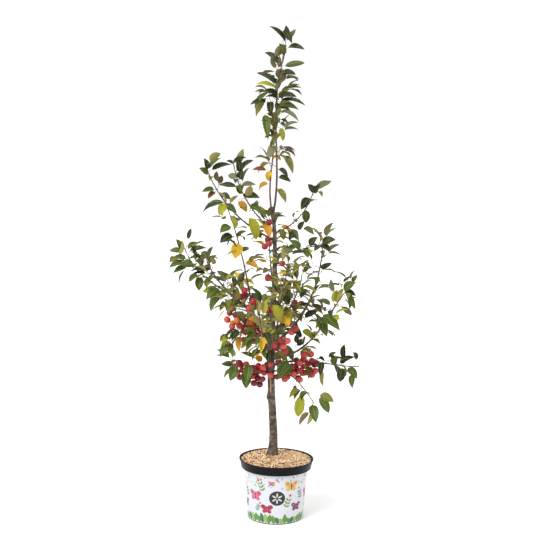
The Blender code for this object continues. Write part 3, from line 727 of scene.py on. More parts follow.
class Heap:
    """Corners, faces and materials gathered for one joined piece."""

    def __init__(self):
        self.corners = []
        self.faces = []
        self.looks = []

    def add(self, corners, faces, looks):
        """Add a shape; looks is one material number or one for each face."""
        first = len(self.corners)
        self.corners.extend(corners)
        self.faces.extend(tuple(first + i for i in face) for face in faces)
        self.looks.extend(looks if isinstance(looks, list) else [looks] * len(faces))


def make_piece(name, heap, materials, replaces=(), crease=60):
    """One object from a heap, with smooth shading but for sharp edges."""
    mesh = bpy.data.meshes.new(name)
    mesh.from_pydata([tuple(corner) for corner in heap.corners], [], heap.faces)
    mesh.polygons.foreach_set("material_index", heap.looks)
    for material in materials:
        mesh.materials.append(material)
    mesh.validate()
    mesh.shade_smooth()
    mesh.set_sharp_from_angle(angle=math.radians(crease))
    piece = bpy.data.objects.new(name, mesh)
    bpy.context.scene.collection.objects.link(piece)
    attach(piece, "root")
    if replaces:
        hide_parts(*replaces)


# Camera geometry

FORWARD = Vector((0, math.cos(CAMERA_TILT), -math.sin(CAMERA_TILT)))
LEVEL_UP = Vector((0, math.sin(CAMERA_TILT), math.cos(CAMERA_TILT)))
LEVEL_RIGHT = Vector((1, 0, 0))
IMAGE_RIGHT = LEVEL_RIGHT * math.cos(CAMERA_ROLL) + LEVEL_UP * math.sin(CAMERA_ROLL)
IMAGE_UP = -LEVEL_RIGHT * math.sin(CAMERA_ROLL) + LEVEL_UP * math.cos(CAMERA_ROLL)
IMAGE_MIDDLE = IMAGE_SIDE / 2


def pixel_of(point):
    """Where a point shows in the image."""
    way = point - CAMERA_PLACE
    depth = way.dot(FORWARD)
    return (IMAGE_MIDDLE + CAMERA_FOCUS * way.dot(IMAGE_RIGHT) / depth,
            IMAGE_MIDDLE - CAMERA_FOCUS * way.dot(IMAGE_UP) / depth)


def place_at(px, py, away):
    """The point that shows at a pixel and lies at a place away from the viewer."""
    ray = (FORWARD
           + IMAGE_RIGHT * ((px - IMAGE_MIDDLE) / CAMERA_FOCUS)
           + IMAGE_UP * ((IMAGE_MIDDLE - py) / CAMERA_FOCUS))
    return CAMERA_PLACE + ray * ((away - CAMERA_PLACE.y) / ray.y)


def make_camera():
    """The camera at the photograph's place and angle."""
    data = bpy.data.cameras.new("camera")
    data.sensor_width = SENSOR_MM
    data.lens = SENSOR_MM * CAMERA_FOCUS / IMAGE_SIDE
    camera = bpy.data.objects.new("camera", data)
    axes = Matrix((IMAGE_RIGHT, IMAGE_UP, -FORWARD)).transposed().to_4x4()
    camera.matrix_world = Matrix.Translation(CAMERA_PLACE) @ axes
    bpy.context.scene.collection.objects.link(camera)
    bpy.context.scene.camera = camera


# Axes of trunk and limbs, by the same rules as the solids


def blend(before, start, end, after, share):
    """Smooth value between start and end that also heeds their neighbours."""
    return start + 0.5 * share * (
        end - before
        + share * (2 * before - 5 * start + 4 * end - after
                   + share * (3 * (start - end) + after - before)))


def trunk_stations():
    """Centre points and radii up the trunk, smoothed between the named ones."""
    rows = []
    last = len(TRUNK) - 1
    for i in range(last):
        around = [TRUNK[max(0, min(last, i + k))] for k in (-1, 0, 1, 2)]
        for step in range(TRUNK_STEPS):
            rows.append([blend(*column, step / TRUNK_STEPS) for column in zip(*around)])
    rows.append(list(TRUNK[last]))
    return [(Vector((x, y, z)), radius) for z, x, y, radius in rows]


STATIONS = trunk_stations()


def trunk_at(height):
    """The trunk's centre at a height above the pot's underside."""
    for (low, _), (high, _) in zip(STATIONS, STATIONS[1:]):
        if low.z <= height <= high.z:
            return low.lerp(high, (height - low.z) / (high.z - low.z))
    return STATIONS[-1][0].copy()


def slope_at(slopes, share):
    """Slope in degrees at a share of a limb's length, through its three named slopes."""
    foot, middle, tip = slopes
    return (foot * (1 - share) * (1 - 2 * share)
            + middle * 4 * share * (1 - share)
            + tip * share * (2 * share - 1))


def direction(heading, slope):
    """Unit vector with a heading and a slope in degrees."""
    turn, rise = math.radians(heading), math.radians(slope)
    return Vector((math.cos(rise) * math.cos(turn), math.cos(rise) * math.sin(turn), math.sin(rise)))


AXES = {}


def limb_axis(name):
    """Points along a limb's centre, from the parent's own centre line to its tip."""
    if name not in AXES:
        limb = LIMBS[name]
        start = trunk_at(limb.at) if limb.parent == "trunk" else point_on(limb.parent, limb.at)[0]
        points = [start]
        for i in range(AXIS_STEPS):
            slope = slope_at(limb.slopes, (i + 0.5) / AXIS_STEPS)
            points.append(points[-1] + limb.length / AXIS_STEPS * direction(limb.heading, slope))
        AXES[name] = points
    return AXES[name]


def point_on(name, distance):
    """Centre point and direction at a distance along a limb."""
    limb = LIMBS[name]
    points = limb_axis(name)
    place = max(0.0, distance) / limb.length * AXIS_STEPS
    index = min(int(place), AXIS_STEPS - 1)
    along = points[index + 1] - points[index]
    share = min(max(distance / limb.length, 0.0), 1.0)
    return points[index] + along * (place - index), direction(limb.heading, slope_at(limb.slopes, share))


def limb_radius(name, distance):
    """Radius of a limb's wood at a distance from its foot."""
    limb = LIMBS[name]
    return limb.foot + (limb.tip - limb.foot) * min(1.0, distance / limb.length)


# Materials


def surface(name, roughness, base, grain=(), stretch=(1, 1, 1), spread=(), specular=None, coat=()):
    """A material whose base is one colour, or rows of (position, colour) over its grain.

    Grain is the scale of its noise, and the strength and depth of its bump. Spread is
    the range of roughness over the grain. Coat is its weight and its roughness.
    """
    material = bpy.data.materials.new(name)
    material.use_nodes = True
    tree = material.node_tree
    shader = tree.nodes["Principled BSDF"]
    shader.inputs["Roughness"].default_value = roughness
    source = add_grain(tree, shader, *grain, stretch, spread) if grain else None
    if isinstance(base[0], tuple):
        add_tones(tree, shader, source, base)
    else:
        shader.inputs["Base Color"].default_value = tone(base)
    if specular is not None:
        shader.inputs["Specular IOR Level"].default_value = specular
    if coat:
        shader.inputs["Coat Weight"].default_value = coat[0]
        shader.inputs["Coat Roughness"].default_value = coat[1]
    return material


def add_grain(tree, shader, size, strength, depth, stretch, spread):
    """Bump and uneven roughness from fine noise, whose value it gives back."""
    place = tree.nodes.new("ShaderNodeTexCoord")
    mapping = tree.nodes.new("ShaderNodeMapping")
    mapping.inputs["Scale"].default_value = stretch
    grain = tree.nodes.new("ShaderNodeTexNoise")
    grain.inputs["Scale"].default_value = size
    grain.inputs["Detail"].default_value = 4.0
    bump = tree.nodes.new("ShaderNodeBump")
    bump.inputs["Strength"].default_value = strength
    bump.inputs["Distance"].default_value = depth
    link = tree.links.new
    link(place.outputs["Object"], mapping.inputs["Vector"])
    link(mapping.outputs["Vector"], grain.inputs["Vector"])
    link(grain.outputs["Fac"], bump.inputs["Height"])
    link(bump.outputs["Normal"], shader.inputs["Normal"])
    if spread:
        levels = tree.nodes.new("ShaderNodeMapRange")
        levels.inputs["To Min"].default_value = spread[0]
        levels.inputs["To Max"].default_value = spread[1]
        link(grain.outputs["Fac"], levels.inputs["Value"])
        link(levels.outputs["Result"], shader.inputs["Roughness"])
    return grain.outputs["Fac"]


def add_tones(tree, shader, source, tones):
    """Base colour from a ramp of (position, colour) over a texture's value."""
    ramp = tree.nodes.new("ShaderNodeValToRGB")
    steps = ramp.color_ramp
    while len(steps.elements) < len(tones):
        steps.elements.new(0.5)
    for element, (position, colour) in zip(steps.elements, tones):
        element.position = position
        element.color = tone(colour)
    tree.links.new(source, ramp.inputs["Fac"])
    tree.links.new(ramp.outputs["Color"], shader.inputs["Base Color"])


def bark_material(name, tones, size, strength, stretch=(1, 1, 0.22)):
    """Bark with streaks along the stem and a rough grain."""
    return surface(name, 0.85, tones, (size, strength, 0.0010), stretch, (0.72, 0.95))


def leaf_material(name, colour, roughness):
    """Leaf skin: plain colour, waxy gloss and a fine net of veins."""
    spread = (roughness - 0.08, roughness + 0.12)
    return surface(name, roughness, colour, (420.0, 0.25, 0.0004), spread=spread, specular=0.2)


def make_leaf_materials():
    """Upper face and underside of every tint, in turn."""
    looks = []
    for name, (upper, under) in TINTS.items():
        looks.append(leaf_material("leaf_" + name + "_upper", upper, 0.42))
        looks.append(leaf_material("leaf_" + name + "_under", under, 0.62))
    return looks


TINT_NUMBERS = {name: 2 * i for i, name in enumerate(TINTS)}

# Tubes, leaves and fruit


def frames_along(points):
    """Two cross axes at each point of a path, without twist."""
    ways = []
    for i in range(len(points)):
        ways.append((points[min(i + 1, len(points) - 1)] - points[max(i - 1, 0)]).normalized())
    side = ways[0].orthogonal().normalized()
    frames = []
    for way in ways:
        side = (side - way * side.dot(way)).normalized()
        frames.append((side, way.cross(side)))
    return frames


def add_tube(heap, points, radii, sides, look, relief=None):
    """A closed round tube along a path; relief gives an added radius at a point."""
    corners = []
    for point, radius, (side, up) in zip(points, radii, frames_along(points)):
        for j in range(sides):
            turn = 2 * math.pi * j / sides
            out = side * math.cos(turn) + up * math.sin(turn)
            more = relief(point + out * radius, out) if relief else 0.0
            corners.append(point + out * (radius + more))
    faces = []
    rings = len(points)
    for i in range(rings - 1):
        for j in range(sides):
            k = (j + 1) % sides
            faces.append((i * sides + j, i * sides + k, (i + 1) * sides + k, (i + 1) * sides + j))
    faces.append(tuple(reversed(range(sides))))
    corners.append(points[-1] + (points[-1] - points[-2]).normalized() * radii[-1])
    top = len(corners) - 1
    for j in range(sides):
        faces.append(((rings - 1) * sides + j, (rings - 1) * sides + (j + 1) % sides, top))
    heap.add(corners, faces, look)


def curve_between(start, end, start_way, end_way, count):
    """Smooth path between two points that leaves and arrives in given directions."""
    span = (end - start).length
    first = start + start_way * span / 3
    second = end - end_way * span / 3
    points = []
    for i in range(count + 1):
        t = i / count
        points.append(start * (1 - t) ** 3 + first * 3 * t * (1 - t) ** 2
                      + second * 3 * t * t * (1 - t) + end * t ** 3)
    return points


def blade_width(share):
    """Half width of a leaf at a share of its length, as a share of its widest."""
    for (low, narrow), (high, wide) in zip(BLADE, BLADE[1:]):
        if low <= share <= high:
            return narrow + (wide - narrow) * (share - low) / (high - low)
    return 0.0


def leaf_faces():
    """Faces of the leaf pattern: upper face first, then the underside."""
    columns = len(LEAF_COLUMNS)
    tip = 1 + LEAF_ROWS * columns

    def upper(row, column):
        return 1 + row * columns + column

    def under(row, column):
        if column in (0, columns - 1):
            return upper(row, column)
        return tip + 1 + row * (columns - 2) + column - 1

    faces = []
    for number in (upper, under):
        skin = []
        for c in range(columns - 1):
            skin.append((0, number(0, c + 1), number(0, c)))
            for r in range(LEAF_ROWS - 1):
                skin.append((number(r, c), number(r, c + 1), number(r + 1, c + 1), number(r + 1, c)))
            skin.append((number(LEAF_ROWS - 1, c), number(LEAF_ROWS - 1, c + 1), tip))
        if number is under:
            skin = [tuple(reversed(face)) for face in skin]
        faces.append(skin)
    return faces


LEAF_UPPER, LEAF_UNDER = leaf_faces()
STRIP_FACES = LEAF_ROWS + 1
# The midrib shows in the underside's paler tint
UPPER_LOOKS = [1 if i // STRIP_FACES == MIDRIB_STRIP else 0 for i in range(len(LEAF_UPPER))]


def add_leaf(heap, foot, tip, up, width, fold, curl, tint, dice):
    """A folded, arched and finely toothed leaf from its foot to its tip."""
    chord = tip - foot
    along = chord.normalized()
    up = (up - along * up.dot(along)).normalized()
    side = along.cross(up)
    half = max(curl, FLATTEST) / 2
    length = chord.length * half / math.sin(half)
    start = along * math.cos(half) + up * math.sin(half)
    lift = up * math.cos(half) - along * math.sin(half)
    ripple = dice.uniform(0.0, RIPPLE)
    phase = dice.uniform(0, 2 * math.pi)
    twist = dice.uniform(-TWIST, TWIST)
    upper, under = [foot], []
    for row in range(LEAF_ROWS):
        share = (row + 1) / (LEAF_ROWS + 1)
        bend = 2 * half * share
        middle = foot + (start * math.sin(bend) - lift * (1 - math.cos(bend))) * (length / (2 * half))
        rise = lift * math.cos(bend) + start * math.sin(bend)
        turn = twist * share
        across = side * math.cos(turn) + rise * math.sin(turn)
        normal = rise * math.cos(turn) - side * math.sin(turn)
        breadth = blade_width(share) * width / 2
        tooth = 1 + TOOTH if row % 2 else 1 - TOOTH
        for column, place in enumerate(LEAF_COLUMNS):
            reach = abs(place) * breadth * (tooth if abs(place) == 1 else 1)
            wave = math.sin(RIPPLES * share + phase + (SIDE_STEP if place > 0 else 0))
            sway = ripple * breadth * place * place * wave
            quilt = QUILT * (1 if row % 2 else -1) * (abs(place) == 0.5)
            point = (middle + across * math.copysign(reach * math.cos(fold), place)
                     + normal * (reach * math.sin(fold) + sway + quilt))
            upper.append(point)
            if 0 < column < len(LEAF_COLUMNS) - 1:
                under.append(point - normal * LEAF_THICKNESS)
    number = TINT_NUMBERS[tint]
    heap.add(upper + [tip] + under, LEAF_UPPER + LEAF_UNDER,
             [number + look for look in UPPER_LOOKS] + [number + 1] * len(LEAF_UNDER))


class Foliage:
    """All that grows on the wood, gathered as it is placed."""

    def __init__(self):
        self.leaves = [Heap()]
        self.counts = [0]
        self.stalks = Heap()
        self.twigs = Heap()

    def leaf(self, foot, tip, up, width, tint, dice, fold=None, curl=None):
        """Add a leaf to the piece that still has room for it."""
        if self.counts[-1] >= MOST_LEAVES:
            self.leaves.append(Heap())
            self.counts.append(0)
        fold = dice.uniform(*FOLD) if fold is None else fold
        curl = dice.uniform(*ARCH) if curl is None else curl
        add_leaf(self.leaves[-1], foot, tip, up, width, fold, curl, tint, dice)
        self.counts[-1] += 1

    def stalk(self, start, end, start_way, end_way, radius, look=0):
        """Add a thin stalk between two points."""
        points = curve_between(start, end, start_way, end_way, STALK_STEPS)
        thick, taper = STALK_TAPER
        radii = [radius * (thick - taper * i) for i in range(STALK_STEPS + 1)]
        add_tube(self.stalks, points, radii, STALK_SIDES, look)

    def twig(self, start, end, way, foot, tip):
        """Add a short woody twig."""
        span = (end - start).normalized()
        points = curve_between(start, end, way, span, TWIG_STEPS)
        radii = [foot + (tip - foot) * i / TWIG_STEPS for i in range(TWIG_STEPS + 1)]
        add_tube(self.twigs, points, radii, TWIG_SIDES, 0)


def inside_box(point):
    """Whether a point stays in the outline seen from the front and near the solids' own box."""
    low, high = CAD_BOX
    if not FURTHEST_LEFT < pixel_of(point)[0] < FURTHEST_RIGHT:
        return False
    return all(low[i] - PAST_BOX < point[i] < high[i] + PAST_BOX for i in range(3))


def hides_fruit(middle):
    """Whether a leaf there would stand before a cluster of fruit as seen from the front."""
    px, py = pixel_of(middle)
    for name, cx, cy, wide, high, _, _ in CLUSTERS:
        if abs(px - cx) < wide + NEAR_CLUSTER and abs(py - cy) < high + NEAR_CLUSTER:
            if middle.y < limb_axis(name)[AXIS_STEPS // 2].y + NEAR_DEPTH:
                return True
    return False


# Samples of every limb, for finding what carries a named leaf or fruit
SAMPLE_STEP = 0.004


def sample_limbs():
    """Points along every limb: name to rows of distance, point and pixel."""
    samples = {}
    for name, limb in LIMBS.items():
        rows = []
        count = int(limb.length / SAMPLE_STEP)
        for i in range(2, count + 1):
            distance = limb.length * i / count
            point = point_on(name, distance)[0]
            rows.append((distance, point, pixel_of(point)))
        samples[name] = rows
    return samples


def nearest_sample(samples, name, px, py):
    """The sample of a limb that shows nearest to a pixel."""
    return min(samples[name], key=lambda row: math.hypot(row[2][0] - px, row[2][1] - py))


def grow_shown(foliage, samples):
    """Leaves with a named place, each on the limb that carries it."""
    rows = [(name, *row) for name, group in SHOWN for row in group]
    for number, (name, fx, fy, tx, ty, width, face, tint) in enumerate(rows):
        dice = random.Random("shown" + str(number))
        on_leader = name.startswith("leader")
        distance, carrier, _ = nearest_sample(samples, name, fx, fy)
        away = carrier.y + dice.uniform(-DEPTH_SPREAD, DEPTH_SPREAD)
        if hides_fruit(place_at((fx + tx) / 2, (fy + ty) / 2, away)):
            away = carrier.y - BEFORE_FRUIT
        foot = place_at(fx, fy, away)
        flat = place_at(tx, ty, away)
        reach = (flat - foot).length
        lean = dice.choice((-1, -1, 1)) * dice.uniform(*SHOWN_LEAN) * reach
        tip = place_at(tx, ty, away + lean)
        if face == "t":
            up = VIEWER + Vector((0, 0, dice.uniform(*UPPER_LOOKS_UP)))
            breadth = LEADER_BREADTH if on_leader else SHOWN_BREADTH
            size = max(width * PIXEL * breadth, UPPER_LEAST * reach)
        elif face == "u":
            up = -VIEWER + Vector((0, 0, dice.uniform(*UNDER_LOOKS_UP)))
            size = max(width * PIXEL, UNDER_LEAST * reach)
        else:
            up = (tip - foot).cross(VIEWER)
            up = up if up.z > 0 else -up
            up += VIEWER * EDGE_TURN
            size = EDGE_WIDTH
        curl = dice.uniform(*(LEADER_ARCH if on_leader else SHOWN_ARCH))
        foliage.leaf(foot, tip, up, size, tint, dice, dice.uniform(*SHOWN_FOLD), curl)
        way = point_on(name, distance)[1]
        gap = foot - carrier
        along = (tip - foot).normalized()
        out = gap.normalized()
        if gap.length > LONGEST_STALK:
            end = foot - out * TWIG_SHORT_OF_LEAF - along * STALK_BACK
            foliage.twig(carrier, end, (way + out).normalized(), *TWIG_RADII)
            foliage.stalk(end, foot, out, along, THIN_STALK)
        else:
            foliage.stalk(carrier, foot, (way * 0.6 + out).normalized(), along, STALK_RADIUS)


def around(way, turn):
    """Unit vector square to a direction, turned about it."""
    side = way.orthogonal().normalized()
    return side * math.cos(turn) + way.cross(side) * math.sin(turn)


def leaf_counts(step):
    """How many leaves a spur may carry where buds are a distance apart."""
    if step > SPARSE_STEP:
        return SPARSE
    return THICK if step < THICK_STEP else EVEN


def grow_by_rule(foliage):
    """Spurs along every leafy stretch, each with its leaves."""
    for part in LEAFY:
        dice = random.Random("rule" + part.limb)
        mix = MIXES[part.mix]
        distance = part.start
        turn = dice.uniform(0, 2 * math.pi)
        while distance < part.end:
            centre, way = point_on(part.limb, distance)
            turn += BUD_TURN + dice.uniform(-BUD_TURN_SPREAD, BUD_TURN_SPREAD)
            out = around(way, turn)
            if abs(out.x) > SIDEWAYS and dice.random() > part.sideways:
                out = around(way, turn + math.pi / 2)
            spur = (way * dice.uniform(*SPUR_FORWARD) + out).normalized()
            length = dice.uniform(*SPUR)
            end = centre + spur * (length + limb_radius(part.limb, distance))
            foliage.twig(centre, end, out, *SPUR_RADII)
            tint = dice.choice(mix)
            for _ in range(dice.choice(leaf_counts(part.step))):
                grow_leaf(foliage, end, spur, way, tint, mix, dice)
            distance += part.step * dice.uniform(*STEP_SPREAD)
        centre, way = point_on(part.limb, LIMBS[part.limb].length)
        for _ in range(0 if part.limb in SHOWN_TIPS else TIP_LEAVES):
            grow_leaf(foliage, centre, way, way, dice.choice(mix), mix, dice)


def grow_leaf(foliage, start, spur, way, tint, mix, dice):
    """One leaf of a spray: most share the spray's tint."""
    if dice.random() < STRAY_TINTS:
        tint = dice.choice(mix)
    out = around(spur, dice.uniform(0, 2 * math.pi)) * dice.uniform(*LEAF_OPENING)
    out = (spur + out).normalized()
    stalk = dice.uniform(*LEAF_STALK)
    foot = start + out * stalk + Vector((0, 0, STALK_RISE * stalk))
    droop = Vector((0, 0, -dice.uniform(0.0, DROOP)))
    ahead = (out + droop).normalized()
    length = dice.uniform(*BLADE_LENGTH)
    tip = foot + ahead * length
    tilt = Vector((dice.uniform(-TILT, TILT), dice.uniform(-TILT, TILT), 0))
    up = Vector((0, 0, 1)) + out * 0.5 + tilt
    hidden = hides_fruit((foot + tip) / 2) and dice.random() < FRUIT_SHOWS
    if hidden or not inside_box(tip) or not inside_box(foot):
        return
    foliage.leaf(foot, tip, up, length * dice.uniform(*BLADE_SHAPE), tint, dice)
    foliage.stalk(start, foot, spur, ahead, STALK_RADIUS)


def fruit_shape(radius):
    """Corners of a fruit round the origin, with a dimple at each end of its height."""
    corners = []
    for i in range(FRUIT_RINGS + 1):
        fall = math.pi * i / FRUIT_RINGS
        size = radius * (1 - STALK_DIMPLE[0] * math.exp(-(fall / STALK_DIMPLE[1]) ** 2)
                         - EYE_DIMPLE[0] * math.exp(-((math.pi - fall) / EYE_DIMPLE[1]) ** 2))
        for j in range(FRUIT_SIDES):
            turn = 2 * math.pi * j / FRUIT_SIDES
            ring = size * math.sin(fall) * (1 + RIB_DEPTH * math.cos(RIBS * turn))
            height = size * math.cos(fall) * FRUIT_HEIGHT
            corners.append(Vector((ring * math.cos(turn), ring * math.sin(turn), height)))
    return corners


def add_fruit(heap, middle, axis, radius, look):
    """A fruit with its withered calyx, hanging along an axis."""
    turn = Vector((0, 0, -1)).rotation_difference(axis).to_matrix()
    shape = fruit_shape(radius)
    inner = shape[FRUIT_SIDES:-FRUIT_SIDES]
    corners = [middle + turn @ corner for corner in (shape[0], *inner, shape[-1])]
    last = len(corners) - 1
    faces = []
    for j in range(FRUIT_SIDES):
        k = (j + 1) % FRUIT_SIDES
        faces.append((0, 1 + j, 1 + k))
        for i in range(FRUIT_RINGS - 2):
            a = 1 + i * FRUIT_SIDES
            b = a + FRUIT_SIDES
            faces.append((a + j, b + j, b + k, a + k))
        a = 1 + (FRUIT_RINGS - 2) * FRUIT_SIDES
        faces.append((a + j, last, a + k))
    heap.add(corners, faces, look)
    # Calyx: withered points round the eye
    foot = middle + axis * radius * CALYX_SEAT
    side = axis.orthogonal().normalized()
    up = axis.cross(side)
    rows = []
    edge = 2 * CALYX_POINTS
    for j in range(edge):
        angle = math.pi * j / CALYX_POINTS
        wide, deep = CALYX_POINT if j % 2 else CALYX_NOTCH
        out = side * math.cos(angle) + up * math.sin(angle)
        rows.append(foot + out * (radius * wide) + axis * (radius * deep))
    rows.append(foot - axis * radius * CALYX_THICKNESS)
    rows.append(foot + axis * radius * CALYX_THICKNESS)
    faces = [(j, (j + 1) % edge, edge) for j in range(edge)]
    faces += [((j + 1) % edge, j, edge + 1) for j in range(edge)]
    heap.add(rows, faces, len(FRUIT_TINTS))


def place_fruit(samples):
    """Middles of all fruit: where each hangs, from what, its radius and its tint."""
    rows = []
    for number, (name, px, py, wide, high, count, yellow) in enumerate(CLUSTERS):
        dice = random.Random("cluster" + str(number))
        for i in range(count):
            turn = BUD_TURN * i + dice.uniform(-SWAY, SWAY)
            share = math.sqrt((i + 0.5) / count)
            x = px + wide * share * math.cos(turn)
            y = py + high * share * math.sin(turn)
            distance, carrier, _ = nearest_sample(samples, name, x, y - HANG_PIXELS)
            middle = place_at(x, y, carrier.y + dice.uniform(*HANG_DEPTH))
            tint = "amber" if i < yellow else dice.choice(FRUIT_MIX)
            rows.append([middle, name, distance, FRUIT_RADIUS * dice.uniform(*FRUIT_SPREAD), tint])
    for number, (name, distance, count) in enumerate(FAR_CLUSTERS):
        dice = random.Random("far" + str(number))
        centre, _ = point_on(name, distance)
        for i in range(count):
            turn = 2 * math.pi * i / count + dice.uniform(-SWAY, SWAY)
            swing = dice.uniform(*HANG_OUT)
            drop = dice.uniform(*HANG_DOWN)
            middle = centre + Vector((swing * math.cos(turn), swing * math.sin(turn), -drop))
            tint = dice.choice(FRUIT_MIX)
            rows.append([middle, name, distance, FRUIT_RADIUS * dice.uniform(*FRUIT_SPREAD), tint])
    return rows


def spread_fruit(rows):
    """Move fruit apart, mostly in depth, until none cuts into another."""
    for _ in range(PUSH_ROUNDS):
        moved = False
        for i, one in enumerate(rows):
            for other in rows[i + 1:]:
                gap = other[0] - one[0]
                need = (one[3] + other[3]) * FRUIT_TOUCH
                if gap.length < need:
                    depth = gap.y if abs(gap.y) > 1e-4 else 1e-3
                    push = Vector((gap.x * PUSH_SIDEWAYS, depth, gap.z * PUSH_SIDEWAYS)).normalized()
                    step = push * (need - gap.length) * PUSH_SHARE
                    one[0] = one[0] - step
                    other[0] = other[0] + step
                    moved = True
        if not moved:
            break


def grow_fruit(foliage, samples):
    """All fruit on their stalks."""
    heap = Heap()
    rows = place_fruit(samples)
    spread_fruit(rows)
    tints = list(FRUIT_TINTS)
    for number, (middle, name, distance, radius, tint) in enumerate(rows):
        dice = random.Random("fruit" + str(number))
        carrier, way = point_on(name, distance)
        hang = Vector((dice.uniform(-SWAY, SWAY), dice.uniform(-SWAY, SWAY), -1)).normalized()
        pull = (middle - carrier).normalized()
        axis = (hang + pull * PULL_OF_STALK).normalized()
        add_fruit(heap, middle, axis, radius, tints.index(tint))
        top = middle - axis * radius * STALK_SEAT
        start_way = (way * STALK_FORWARD + pull).normalized()
        foliage.stalk(carrier, top, start_way, axis, FRUIT_STALK_RADIUS, 1)
    return heap


# Wood


def trunk_relief(point, out):
    """How far the bark stands out at a point of the trunk."""
    spot = Vector((point.x * PLATE_ACROSS, point.y * PLATE_ACROSS, point.z * PLATE_ALONG))
    more = PLATE_RELIEF * noise.noise(spot) + CRACK_RELIEF * noise.noise(spot * CRACK_SCALE)
    spot = Vector((point.x * BAND_ACROSS, point.y * BAND_ACROSS, point.z * BAND_ALONG))
    more += BAND_RELIEF * noise.noise(spot)
    for height, heading, proud, tall in KNUCKLES:
        lift = (point.z - height) / tall
        if abs(lift) < 3:
            facing = max(0.0, out.dot(direction(heading, 0)))
            more += proud * math.exp(-lift * lift) * facing ** 3
    lobes = max(0.0, (FLARE_TOP - point.z) / (FLARE_TOP - GROUND))
    if lobes:
        turn = math.atan2(out.y, out.x)
        more += FLARE_DEPTH * lobes * FLARE_REACH * math.cos(FLARE_LOBES * turn)
    return more


def make_trunk():
    """The trunk with its bark, knuckles, root flare and pale scar."""
    heap = Heap()
    points = [centre for centre, _ in STATIONS]
    radii = [radius for _, radius in STATIONS]
    points.insert(0, points[0] - Vector((0, 0, ROOT_DEPTH)))
    radii.insert(0, radii[0] * ROOT_SPREAD)
    add_tube(heap, points, radii, TRUNK_SIDES, 0, trunk_relief)
    low, high, heading, half = SCAR
    ahead = direction(heading, 0)
    side = direction(heading + 90, 0)
    for i, face in enumerate(heap.faces):
        middle = sum((heap.corners[k] for k in face), Vector()) / len(face)
        if low < middle.z < high:
            out = middle - trunk_at(middle.z)
            narrow = half * min(1.0, (middle.z - low) / SCAR_TAPER)
            if out.dot(ahead) > 0 and abs(out.dot(side)) < narrow:
                heap.looks[i] = 1
    bark = bark_material("bark_old", OLD_BARK, 75.0, 0.9, (0.7, 0.7, 1.1))
    scar = bark_material("bark_scar", SCAR_WOOD, 80.0, 0.5)
    make_piece("trunk_bark", heap, [bark, scar], ("trunk",), crease=80)


def limb_relief(point, out):
    """Fine bark relief on leaders and boughs."""
    spot = Vector((point.x * LIMB_ACROSS, point.y * LIMB_ACROSS, point.z * LIMB_ALONG))
    return LIMB_RELIEF * noise.noise(spot)


def make_boughs(nodes):
    """Leaders, boughs and the shoots inside the foliage, with buds along them."""
    heap = Heap()
    for name, limb in LIMBS.items():
        count = max(6, int(limb.length / LIMB_STEP))
        points, radii = [], []
        for i in range(count + 1):
            distance = limb.length * i / count
            points.append(point_on(name, distance)[0])
            swell = BUD_SWELL * max(0.0, math.sin(2 * math.pi * distance / BUD_SPACING)) ** 6
            collar = COLLAR_SWELL * limb.foot * math.exp(-(distance / COLLAR_LENGTH) ** 2)
            radii.append(limb_radius(name, distance) + swell + collar)
        add_tube(heap, points, radii, LIMB_SIDES, 0, limb_relief)
    bark = bark_material("bark_young", YOUNG_BARK, 90.0, 0.7)
    woods = [name for name in nodes if name.startswith(("leader_", "bough_"))]
    make_piece("boughs_bark", heap, [bark], woods, crease=80)


# Pot and chips


def body_radius(height, inset=0.0):
    """Outer radius of the pot's tapering body at a height, less an inset."""
    share = height / SHOULDER_HEIGHT
    return FOOT_RADIUS + (WAIST_RADIUS - FOOT_RADIUS) * share - inset


def collar_radius(height, inset=0.0):
    """Outer radius of the flared collar at a height, less an inset."""
    share = (height - SHOULDER_HEIGHT) / (POT_HEIGHT - SHOULDER_HEIGHT)
    return COLLAR_FOOT_RADIUS + (COLLAR_TOP_RADIUS - COLLAR_FOOT_RADIUS) * share - inset


def revolved(profile, sides):
    """A heap with a closed outline of (radius, height) turned about the upright axis."""
    heap = Heap()
    corners, rows = [], []
    for radius, height in profile:
        if radius < 1e-6:
            rows.append([len(corners)] * sides)
            corners.append(Vector((0, 0, height)))
            continue
        rows.append([len(corners) + i for i in range(sides)])
        for i in range(sides):
            turn = 2 * math.pi * i / sides
            corners.append(Vector((radius * math.cos(turn), radius * math.sin(turn), height)))
    faces = []
    for j, row in enumerate(rows):
        following = rows[(j + 1) % len(rows)]
        for i in range(sides):
            k = (i + 1) % sides
            face = []
            for corner in (row[i], row[k], following[k], following[i]):
                if corner not in face:
                    face.append(corner)
            if len(face) > 2:
                faces.append(tuple(face))
    heap.add(corners, faces, 0)
    return heap


